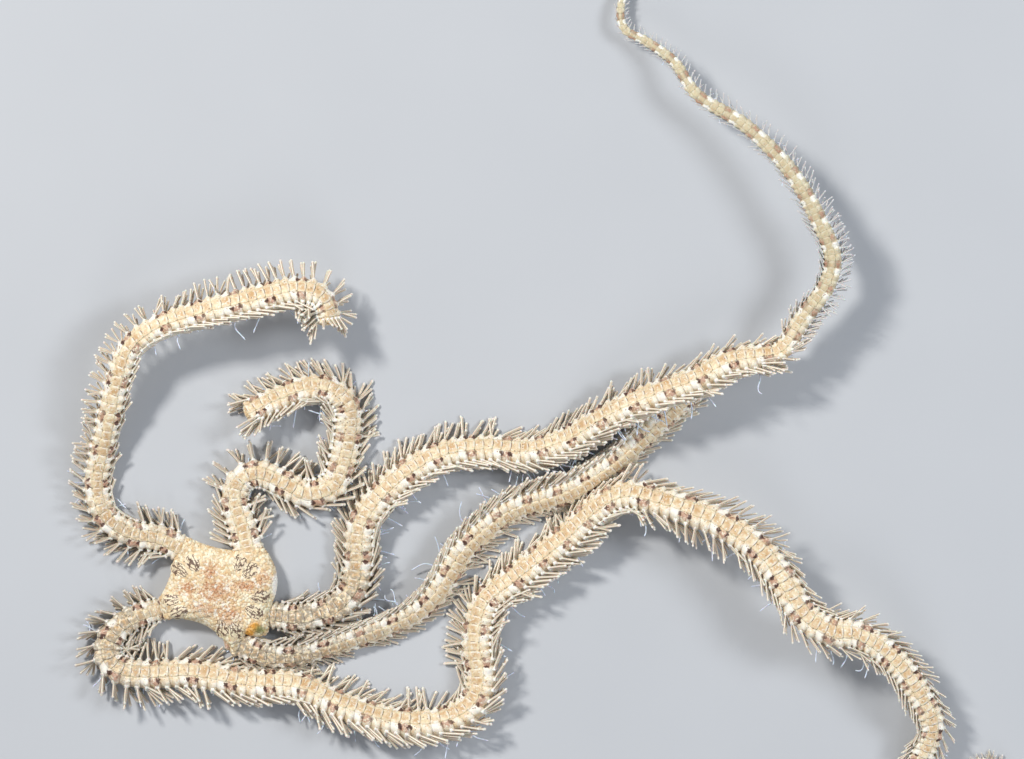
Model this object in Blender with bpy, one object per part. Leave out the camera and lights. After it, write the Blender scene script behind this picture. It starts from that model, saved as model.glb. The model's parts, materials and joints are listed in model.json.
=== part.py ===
# A long-armed brittle star at life size: the disc and five spiny arms, each in a few lengths.
# Metres, +Z up. The origin is on the floor, under the middle of the disc.
import math
import random

import bmesh
import bpy
import numpy as np
from mathutils import Matrix, Vector

MM = 0.001
GAP = 0.3 * MM                     # between neighbouring pieces

# The disc: a low, puffy cushion that rests on its underside.
DISC_HEIGHT = 3.4 * MM
DISC_LAYERS = (                    # share of the height, share of the outline
    (0.00, 0.62), (0.06, 0.84), (0.28, 0.97), (0.50, 1.02), (0.70, 0.98),
    (0.86, 0.86), (0.96, 0.62), (1.00, 0.30),
)
ARM_FACE = (0.06, 0.70)            # shares of the height between which the disc meets an arm
ARM_FACE_WIDTH = 1.04              # width of that face over the arm's width
DISC_EDGE_STEPS = 6                # points along the edge between two arms
DISC_BULGE = {                     # millimetres outwards, and towards the second arm
    "ab": (-0.35, 0), "bc": (1.1, 0.9), "cd": (0.9, 0), "de": (-1.6, 0), "ea": (-0.3, 0),
}
DISC_COLOUR = (0.78, 0.66, 0.52)

# The shields: a pair of low oval plates on the disc at the root of each arm.
SHIELD_LENGTH = 2.2 * MM
SHIELD_WIDTH = 1.4 * MM
SHIELD_THICKNESS = 0.9 * MM
SHIELD_STANDS_OUT = 0.22 * MM

# The arms: half the width of the body of the arm by millimetres from the disc, the middles of
# its two shields in millimetres, and the route of its underside: across, up the picture, above
# the floor.
ARMS = {
    "a": {
        "lengths": 4,
        "half_width": ((0, 1.45), (8, 1.35), (20, 1.2), (35, 1.25), (47, 1.5), (56, 1.35)),
        "shields": ((-3.1, 3.8), (-4.6, 3.0)),
        "route": (
            (-4.6, 5.5, 0), (-6.9, 6.6, 0), (-10.0, 7.1, 0), (-12.7, 8.6, 0), (-14.0, 10.9, 0),
            (-14.3, 13.3, 0.1), (-13.6, 16.8, 0.8), (-12.7, 20.7, 2.0), (-11.6, 24.8, 3.2),
            (-10.1, 28.5, 4.0), (-7.5, 30.6, 4.4), (-2.3, 32.4, 4.6), (3.8, 33.9, 4.6),
            (9.0, 35.0, 4.4), (11.3, 34.5, 4.2), (12.2, 33.1, 4.0), (12.4, 31.6, 3.8),
        ),
    },
    "b": {
        "lengths": 4,
        "half_width": ((0, 1.6), (6, 1.4), (30, 1.5), (42, 1.35)),
        "shields": ((2.3, 3.9), (3.5, 2.9)),
        "route": (
            (3.2, 5.5, 0), (2.6, 7.8, 0), (1.6, 11.2, 0), (2.3, 13.3, 0), (4.4, 14.1, 0),
            (7.2, 13.0, 0), (10.1, 11.7, 0), (13.0, 12.9, 0), (14.0, 15.4, 0), (14.6, 19.1, 0),
            (14.4, 21.9, 0), (12.4, 23.6, 0), (9.8, 23.7, 0), (6.3, 22.4, 0.2), (3.1, 20.8, 0.6),
        ),
    },
    "c": {
        "lengths": 9,
        "half_width": (
            (0, 1.4), (10, 1.55), (60, 1.5), (69, 1.45), (72, 1.0), (90, 0.9), (105, 0.72),
            (115, 0.55), (125, 0.4), (133, 0.22),
        ),
        "shields": ((4.7, -0.1), (4.0, -1.8)),
        "route": (
            (5.8, -2.2, 0), (9.2, -2.5, 0), (13.0, -1.5, 0), (15.2, 0.5, 0), (16.0, 3.7, 0),
            (16.2, 7.4, 0), (17.1, 9.5, 0), (18.9, 11.7, 0), (22.1, 14.4, 0), (25.9, 16.2, 0),
            (30.5, 16.8, 0), (35.6, 16.5, 0), (39.9, 17.8, 0.4), (45.2, 20.9, 2.2),
            (49.9, 23.0, 3.1), (54.3, 24.6, 3.2), (58.7, 26.8, 3.3), (62.1, 27.5, 3.5),
            (64.6, 28.3, 3.8), (66.7, 31.5, 4.4), (69.7, 35.8, 5.1), (70.3, 38.9, 5.5),
            (68.5, 43.5, 5.8), (65.3, 48.9, 5.8), (60.4, 53.9, 5.0), (54.7, 57.7, 3.8),
            (52.2, 61.4, 2.9), (49.0, 63.8, 2.1), (46.6, 65.2, 1.6), (46.1, 67.2, 1.2),
            (47.0, 70.2, 0.6), (49.7, 72.2, 0.1), (53.1, 72.7, 0),
        ),
    },
    "d": {
        "lengths": 4,
        "half_width": ((0, 1.35), (10, 1.2), (20, 1.25), (28, 1.5), (62, 1.4)),
        "shields": ((0.3, -3.7), (1.8, -3.9)),
        "route": (
            (2.3, -5.6, 0), (5.5, -6.8, 0), (9.2, -6.6, 0), (15.0, -4.9, 0), (18.7, -3.6, 0),
            (22.1, -2.0, 0), (24.6, 0.3, 0), (27.6, 5.1, 0), (30.9, 8.3, 0), (33.7, 10.2, 0),
            (36.8, 11.2, 0), (39.9, 12.2, 0), (45.4, 15.6, 0), (50.3, 20.1, 0), (53.6, 23.3, 0),
        ),
    },
    "e": {
        "lengths": 11,
        "half_width": (
            (0, 1.2), (12, 1.5), (60, 1.6), (115, 1.5), (125, 1.35), (135, 1.2), (145, 0.95),
            (155, 0.65), (161, 0.3),
        ),
        "shields": ((-5.6, -0.5), (-4.6, -1.8)),
        "route": (
            (-6.7, -1.5, 0), (-8.6, -2.0, 0), (-10.7, -2.9, 0), (-12.8, -5.1, 0),
            (-12.9, -7.2, 0), (-11.4, -8.6, 0), (-8.1, -9.1, 0), (-3.3, -9.0, 0),
            (3.5, -10.2, 0), (8.9, -10.5, 0), (14.1, -12.8, 0), (20.4, -14.6, 0),
            (25.3, -14.6, 0), (28.8, -12.9, 0), (30.1, -10.0, 0), (29.7, -5.1, 0),
            (30.6, -1.0, 0), (33.9, 1.8, 0), (40.0, 6.7, 0.1), (43.7, 10.1, 0.9),
            (46.8, 11.5, 1.9), (50.6, 10.8, 3.0), (57.2, 8.5, 4.3), (61.8, 5.4, 4.9),
            (64.4, 2.0, 5.1), (67.0, -2.1, 5.1), (70.2, -4.0, 5.0), (73.0, -4.3, 4.8),
            (77.3, -7.2, 4.2), (80.3, -11.3, 3.3), (81.8, -14.7, 2.3), (81.0, -17.7, 1.3),
            (79.9, -20.9, 0.5), (81.0, -24.2, 0.1), (84.0, -26.2, 0), (87.5, -25.5, 0),
            (89.8, -22.8, 0), (89.5, -20.0, 0), (87.4, -19.2, 0), (85.7, -20.6, 0),
        ),
    },
}
HEIGHT_SHARE = 0.78                # height of an arm over its width
SECTION = (                        # across and above, in half widths and heights
    (-0.42, 0.0), (0.42, 0.0), (0.96, 0.20), (0.94, 0.77),
    (0.45, 1.0), (-0.45, 1.0), (-0.94, 0.77), (-0.96, 0.20),
)
FLANK_SHARE = 0.9                  # how far out on the half width a spine's own length starts
RING_STEP = 1.35 * MM
ROUTE_STEP = 0.25 * MM
SWELL = 0.05                       # how far every second ring stands out
END_STEP = 0.35 * MM               # rounding of an arm's free end
END_SHARE = 0.6
ARM_COLOUR = (0.76, 0.68, 0.54)
SURFACE_ROUGHNESS = 0.55

# The spines: two to each ring, one low or high on either flank, by turns.
SPINE_SIDES = 3
SPINE_RADIUS = 0.33 * MM           # of the corners, at the root
SPINE_TIP_RADIUS = 0.2 * MM
SPINE_REACH = 1.32                 # length outside the arm over half the arm's width
SPINE_REACH_SPREAD = 0.14
SPINE_LEAST = 0.75 * MM
SPINE_ROOT_DEPTH = 0.5             # how deep the root sits, over half the arm's width
SPINE_ROWS = ((0.32, 3), (0.68, 44))   # height on the flank, degrees above level
SPINE_STAGGER = 0.22               # of the space between two rings, low and high rows apart
SPINE_SPARSE_WIDTH = 0.75 * MM     # an arm thinner than this carries half as many
SPINE_LEAN = 24                    # degrees towards the tip of the arm
SPINE_SPREAD = 9                   # degrees of variation
SPINE_LEAST_WIDTH = 0.42 * MM      # and one thinner than this carries none
SPINE_RETRIES = ((1, 0), (0.75, 14), (0.75, 40), (0.6, 60), (0.5, 0))   # length, degrees up
SPINE_SAMPLES = 7                  # points along a spine that are kept clear
SPINE_FREE_FROM = 0.1              # share of the length at which they start
FLOOR_GAP = 0.05 * MM
SEED = 5


def clear_scene():
    for thing in list(bpy.data.objects):
        bpy.data.objects.remove(thing)


def new_material(name, colour):
    material = bpy.data.materials.new(name)
    material.use_nodes = True
    surface = material.node_tree.nodes["Principled BSDF"]
    surface.inputs["Base Color"].default_value = (*colour, 1)
    surface.inputs["Roughness"].default_value = SURFACE_ROUGHNESS
    surface.inputs["Metallic"].default_value = 0
    return material


def add_object(name, mesh):
    thing = bpy.data.objects.new(name, mesh)
    bpy.context.scene.collection.objects.link(thing)
    return thing


def to_mesh(name, work, triangles=True):
    """Turn a bmesh into a mesh whose faces point out."""
    if triangles:
        bmesh.ops.triangulate(work, faces=work.faces[:], quad_method="FIXED")
    bmesh.ops.recalc_face_normals(work, faces=work.faces[:])
    mesh = bpy.data.meshes.new(name)
    work.to_mesh(mesh)
    work.free()
    return mesh


def loft(rings):
    """Join closed rings of equally many points with faces, and close both ends."""
    work = bmesh.new()
    made = [[work.verts.new(point) for point in ring] for ring in rings]
    count = len(made[0])
    for low, high in zip(made, made[1:]):
        for i in range(count):
            j = (i + 1) % count
            work.faces.new((low[i], low[j], high[j], high[i]))
    work.faces.new(made[0][::-1])
    work.faces.new(made[-1])
    return work


def keep_largest_surface(work):
    """Drop whatever isn't joined to the largest closed surface."""
    left = set(work.faces)
    surfaces = []
    while left:
        surface = set()
        edge = [left.pop()]
        while edge:
            face = edge.pop()
            surface.add(face)
            for beside in {f for e in face.edges for f in e.link_faces} & left:
                left.remove(beside)
                edge.append(beside)
        surfaces.append(surface)
    surfaces.sort(key=len)
    for surface in surfaces[:-1]:
        bmesh.ops.delete(work, geom=list(surface), context="FACES")


def fuse(name, mesh, pieces, colour):
    """Join the closed pieces to the body in one union, as one closed surface."""
    body = add_object(name, mesh)
    group = bpy.data.collections.new(name + "_pieces")
    bpy.context.scene.collection.children.link(group)
    for i, piece in enumerate(pieces):
        group.objects.link(bpy.data.objects.new(f"{name}_piece_{i}", piece))
    if pieces:
        union = body.modifiers.new("union", "BOOLEAN")
        union.operation = "UNION"
        union.operand_type = "COLLECTION"
        union.collection = group
        union.solver = "EXACT"
        body_now = body.evaluated_get(bpy.context.evaluated_depsgraph_get())
        body.data = bpy.data.meshes.new_from_object(body_now)
        body.modifiers.clear()
    for thing in list(group.objects):
        bpy.data.objects.remove(thing)
    bpy.data.collections.remove(group)
    work = bmesh.new()
    work.from_mesh(body.data)
    keep_largest_surface(work)
    body.data = to_mesh(name, work)
    body.data.shade_smooth()
    body.data.set_sharp_from_angle(angle=0.7)
    body.data.materials.append(new_material(name, colour))


class Route:
    """The smooth line under the middle of one arm, measured along its length."""

    def __init__(self, places, half_width):
        points = np.array(places, float) * MM
        spans = np.sqrt(np.linalg.norm(np.diff(points, axis=0), axis=1))
        knots = np.concatenate(([0], np.cumsum(spans)))
        slopes = np.gradient(points, knots, axis=0)
        share = np.linspace(0, 1, 60, endpoint=False)[:, None]
        dense = []
        for i, span in enumerate(spans):
            dense.append(
                (2 * share**3 - 3 * share**2 + 1) * points[i]
                + (share**3 - 2 * share**2 + share) * span * slopes[i]
                + (3 * share**2 - 2 * share**3) * points[i + 1]
                + (share**3 - share**2) * span * slopes[i + 1]
            )
        dense = np.concatenate(dense + [points[-1:]])
        dense[:, 2] = np.maximum(dense[:, 2], 0)
        along = np.concatenate(([0], np.cumsum(np.linalg.norm(np.diff(dense, axis=0), axis=1))))
        self.length = along[-1]
        self.along = np.arange(0, self.length, ROUTE_STEP)
        self.points = np.stack([np.interp(self.along, along, dense[:, k]) for k in range(3)], 1)
        self.width_table = np.array(half_width, float) * MM
        self.half_widths = np.interp(self.along, self.width_table[:, 0], self.width_table[:, 1])

    def place(self, along):
        return Vector([np.interp(along, self.along, self.points[:, k]) for k in range(3)])

    def half_width(self, along):
        return float(np.interp(along, self.along, self.half_widths))

    def frame(self, along):
        """Forward, right and up at a point of the route."""
        reach = 2 * ROUTE_STEP
        start = max(along - reach, 0)
        end = min(along + reach, self.length - ROUTE_STEP)
        forward = (self.place(end) - self.place(start)).normalized()
        right = forward.cross(Vector((0, 0, 1))).normalized()
        return forward, right, right.cross(forward)

    def core(self):
        """Points along the middle of the arm's body."""
        return self.points + [0, 0, 1] * (self.half_widths * HEIGHT_SHARE)[:, None]


class Surroundings:
    """What a spine has to stay clear of: the arms, the disc and the spines of other pieces."""

    def __init__(self, routes, disc_edge):
        self.cores = {name: route.core() for name, route in routes.items()}
        self.routes = routes
        angles = [math.atan2(p.y, p.x) for p in disc_edge]
        order = np.argsort(angles)
        self.disc_angles = np.array(angles)[order]
        self.disc_radii = np.array([p.length for p in disc_edge])[order]
        self.spines = []

    def clear_of_disc(self, samples):
        angles = np.arctan2(samples[:, 1], samples[:, 0])
        edge = np.interp(angles, self.disc_angles, self.disc_radii, period=2 * math.pi)
        outside = np.linalg.norm(samples[:, :2], axis=1) - edge
        return outside.min() > SPINE_RADIUS + GAP

    def clear_of_arms(self, samples, arm, start, end):
        """Close to its own arm, a spine stays beside its own length of it."""
        for name, core in self.cores.items():
            away = np.linalg.norm(samples[:, None] - core[None], axis=2)
            near = away.argmin(axis=1)
            room = away.min(axis=1) - self.routes[name].half_widths[near] - SPINE_RADIUS - GAP
            at = self.routes[name].along[near]
            touching = room < 0
            if name == arm:
                touching &= (at <= start + SPINE_RADIUS) | (at >= end - SPINE_RADIUS)
            if touching.any():
                return False
        return True

    def clear_of_spines(self, samples, piece):
        for other, points in self.spines:
            if other == piece:
                continue
            apart = np.linalg.norm(samples[:, None] - points[None], axis=2).min()
            if apart < 2 * SPINE_RADIUS + GAP:
                return False
        return True

    def accepts(self, samples, piece, arm, start, end):
        if samples[:, 2].min() < SPINE_RADIUS + FLOOR_GAP:
            return False
        return (
            self.clear_of_disc(samples)
            and self.clear_of_arms(samples, arm, start, end)
            and self.clear_of_spines(samples, piece)
        )


def spine_mesh(root, direction, length):
    """A straight, blunt spine that tapers a little."""
    work = bmesh.new()
    turn = direction.to_track_quat("Z", "Y").to_matrix().to_4x4()
    bmesh.ops.create_cone(
        work, segments=SPINE_SIDES, cap_ends=True, depth=length,
        radius1=SPINE_RADIUS, radius2=SPINE_TIP_RADIUS,
        matrix=Matrix.Translation(root + direction * length / 2) @ turn,
    )
    return to_mesh("spine", work, triangles=False)


def place_spine(route, along, side, row, more_lean, more_tilt):
    """Root, flank point and direction of a spine, whose root stays above the floor."""
    forward, right, up = route.frame(along)
    width = route.half_width(along)
    height, degrees = SPINE_ROWS[row]
    lean = math.radians(SPINE_LEAN + more_lean)
    tilt = math.radians(degrees + more_tilt)
    level = right * side * math.cos(lean) + forward * math.sin(lean)
    direction = (level * math.cos(tilt) + up * math.sin(tilt)).normalized()
    lift = 2 * width * HEIGHT_SHARE * height
    flank = route.place(along) + right * side * width * FLANK_SHARE + up * lift
    root = flank - direction * width * SPINE_ROOT_DEPTH
    rise = Vector((0, 0, max(SPINE_RADIUS + FLOOR_GAP - root.z, 0)))
    return root + rise, flank + rise, direction


def grow_spines(route, arm, piece, start, end, surroundings, rng):
    """Spines along one length of an arm, wherever there is room for them."""
    steps = round((end - start) / RING_STEP)
    pieces = []
    for k in range(steps):
        for side in (-1, 1):
            row = (k + (side > 0)) % 2
            stagger = SPINE_STAGGER * side * (1 if row == 0 else -1)
            along = start + (end - start) * (k + 0.5 + stagger) / steps
            width = route.half_width(along)
            if width < SPINE_SPARSE_WIDTH and (row or width < SPINE_LEAST_WIDTH):
                continue
            share = 1 + rng.uniform(-SPINE_REACH_SPREAD, SPINE_REACH_SPREAD)
            lean = rng.uniform(-SPINE_SPREAD, SPINE_SPREAD)
            tilt = rng.uniform(-SPINE_SPREAD, SPINE_SPREAD)
            for shorter, rise in SPINE_RETRIES:
                outside = max(SPINE_REACH * width * share * shorter, SPINE_LEAST)
                root, flank, direction = place_spine(route, along, side, row, lean, tilt + rise)
                shares = np.linspace(SPINE_FREE_FROM, 1, SPINE_SAMPLES)
                samples = np.array([flank + direction * outside * t for t in shares])
                if surroundings.accepts(samples, piece, arm, start, end):
                    surroundings.spines.append((piece, samples))
                    pieces.append(spine_mesh(root, direction, (flank - root).length + outside))
                    break
    return pieces


def arm_ring(route, along, swell):
    """One cross-section of an arm: a flat sole and a rounded back."""
    forward, right, up = route.frame(along)
    middle = route.place(along)
    width = route.half_width(along) * swell
    height = 2 * width * HEIGHT_SHARE
    return [middle + right * width * across + up * height * above for across, above in SECTION]


def arm_body(route, start, end, free_end):
    steps = round((end - start) / RING_STEP)
    rings = []
    for k in range(steps + 1):
        swell = 1 if k in (0, steps) else 1 + SWELL * (-1) ** k
        rings.append(arm_ring(route, start + (end - start) * k / steps, swell))
    if free_end:
        forward = route.frame(end)[0]
        middle = sum(rings[-1], Vector()) / len(SECTION)
        rings.append([middle + (p - middle) * END_SHARE + forward * END_STEP for p in rings[-1]])
    return loft(rings)


def build_arm(route, name, count, surroundings, rng):
    """The lengths of one arm, each fused with its spines."""
    bounds = [GAP + (route.length - GAP) * i / count for i in range(count + 1)]
    for i in range(count):
        piece = f"arm_{name}_{i + 1}"
        start = bounds[i] + (GAP / 2 if i else 0)
        end = bounds[i + 1] - (GAP / 2 if i < count - 1 else 0)
        body = to_mesh(piece, arm_body(route, start, end, free_end=i == count - 1))
        spines = grow_spines(route, name, piece, start, end, surroundings, rng)
        fuse(piece, body, spines, ARM_COLOUR)


def disc_edge(routes):
    """The disc's edge seen from above: a face for each arm, and curves between them."""
    order = "bcdea"
    corners = {}
    for name in order:
        place = routes[name].place(0)
        right = routes[name].frame(0)[1]
        width = routes[name].half_width(0) * ARM_FACE_WIDTH
        corners[name] = (place - right * width, place + right * width)
    edge = []
    for name, after in zip(order, order[1:] + order[0]):
        left, right = corners[name]
        end = corners[after][0]
        edge += [left, right]
        middle = (right + end) / 2
        bulge, towards = DISC_BULGE[name + after]
        control = middle + middle.normalized() * 2 * bulge * MM
        control += (end - right).normalized() * towards * MM
        for k in range(1, DISC_EDGE_STEPS):
            t = k / DISC_EDGE_STEPS
            edge.append(right * (1 - t) ** 2 + control * 2 * t * (1 - t) + end * t**2)
    return edge


def shield_mesh(middle, direction):
    """A low oval plate whose long side points along the direction."""
    work = bmesh.new()
    bmesh.ops.create_uvsphere(work, u_segments=8, v_segments=4, radius=0.5)
    turn = direction.to_track_quat("X", "Z").to_matrix().to_4x4()
    size = Matrix.Diagonal((SHIELD_LENGTH, SHIELD_WIDTH, SHIELD_THICKNESS, 1))
    bmesh.ops.transform(work, matrix=Matrix.Translation(middle) @ turn @ size, verts=work.verts)
    return to_mesh("shield", work)


def disc_top(edge, point):
    """Height of the disc's back over a point."""
    angle = math.atan2(point.y, point.x)
    angles = [math.atan2(p.y, p.x) for p in edge]
    order = np.argsort(angles)
    radii = np.array([p.length for p in edge])[order]
    share = point.length / np.interp(angle, np.array(angles)[order], radii, period=2 * math.pi)
    upper = [layer for layer in DISC_LAYERS if layer[0] >= 0.5][::-1]
    return DISC_HEIGHT * float(np.interp(share, [s for h, s in upper], [h for h, s in upper]))


def disc_shields(edge):
    """The plates point away from the middle of the disc and lie along its slope."""
    shields = []
    for arm in ARMS.values():
        for place in arm["shields"]:
            middle = Vector((*place, 0)) * MM
            lie = middle.normalized() * SHIELD_LENGTH / 3
            height = disc_top(edge, middle)
            lie.z = disc_top(edge, middle + lie) - height
            middle.z = height - SHIELD_THICKNESS / 2 + SHIELD_STANDS_OUT
            shields.append(shield_mesh(middle, lie.normalized()))
    return shields


def build_disc(edge):
    """Stacked outlines; those level with the arms keep the faces that the arms meet."""
    rings = []
    for height, share in DISC_LAYERS:
        ring = []
        for i, point in enumerate(edge):
            meets_arm = i % (DISC_EDGE_STEPS + 1) < 2
            level = ARM_FACE[0] <= height <= ARM_FACE[1]
            ring.append(point * (1 if meets_arm and level else share))
        rings.append([point + Vector((0, 0, height * DISC_HEIGHT)) for point in ring])
    fuse("disc", to_mesh("disc", loft(rings)), disc_shields(edge), DISC_COLOUR)


def main():
    clear_scene()
    rng = random.Random(SEED)
    routes = {name: Route(arm["route"], arm["half_width"]) for name, arm in ARMS.items()}
    edge = disc_edge(routes)
    build_disc(edge)
    surroundings = Surroundings(routes, edge)
    for name, arm in ARMS.items():
        build_arm(routes[name], name, arm["lengths"], surroundings, rng)


main()
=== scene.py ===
# A brittle star at life size: skin, plates, spines and tube feet laid over its solids.
import json

import bpy
import numpy as np
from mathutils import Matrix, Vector

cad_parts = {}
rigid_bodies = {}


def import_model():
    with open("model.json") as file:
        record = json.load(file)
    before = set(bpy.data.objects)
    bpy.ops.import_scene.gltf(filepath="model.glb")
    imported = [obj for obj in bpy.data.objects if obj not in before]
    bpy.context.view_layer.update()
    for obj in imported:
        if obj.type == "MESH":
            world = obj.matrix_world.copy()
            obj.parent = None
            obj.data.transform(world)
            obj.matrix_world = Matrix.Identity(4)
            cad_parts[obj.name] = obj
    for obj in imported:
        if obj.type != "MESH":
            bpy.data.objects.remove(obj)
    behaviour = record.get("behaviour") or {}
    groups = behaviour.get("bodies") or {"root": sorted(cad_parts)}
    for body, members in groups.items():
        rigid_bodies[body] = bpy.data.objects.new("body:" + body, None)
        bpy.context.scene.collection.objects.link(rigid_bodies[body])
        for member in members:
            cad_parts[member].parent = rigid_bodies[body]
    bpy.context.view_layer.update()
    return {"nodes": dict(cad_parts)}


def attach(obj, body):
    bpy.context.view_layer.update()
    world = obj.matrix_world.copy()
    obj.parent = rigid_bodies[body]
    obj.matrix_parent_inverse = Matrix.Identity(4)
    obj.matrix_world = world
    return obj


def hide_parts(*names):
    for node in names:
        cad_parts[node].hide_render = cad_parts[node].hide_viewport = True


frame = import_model()
print("solids loaded")

mm = 0.001                      # everything below is worked out in millimetres
rng = np.random.default_rng(11)
usualWidth = 1.45               # half the width of a full-grown arm, which other sizes go with
goldenTurn = 3 - np.sqrt(5)     # in half turns, from one scale of a spiral to the next
rodPatch = 0.003                # across, of a spine's or a foot's own patch of the unwrap

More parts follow.
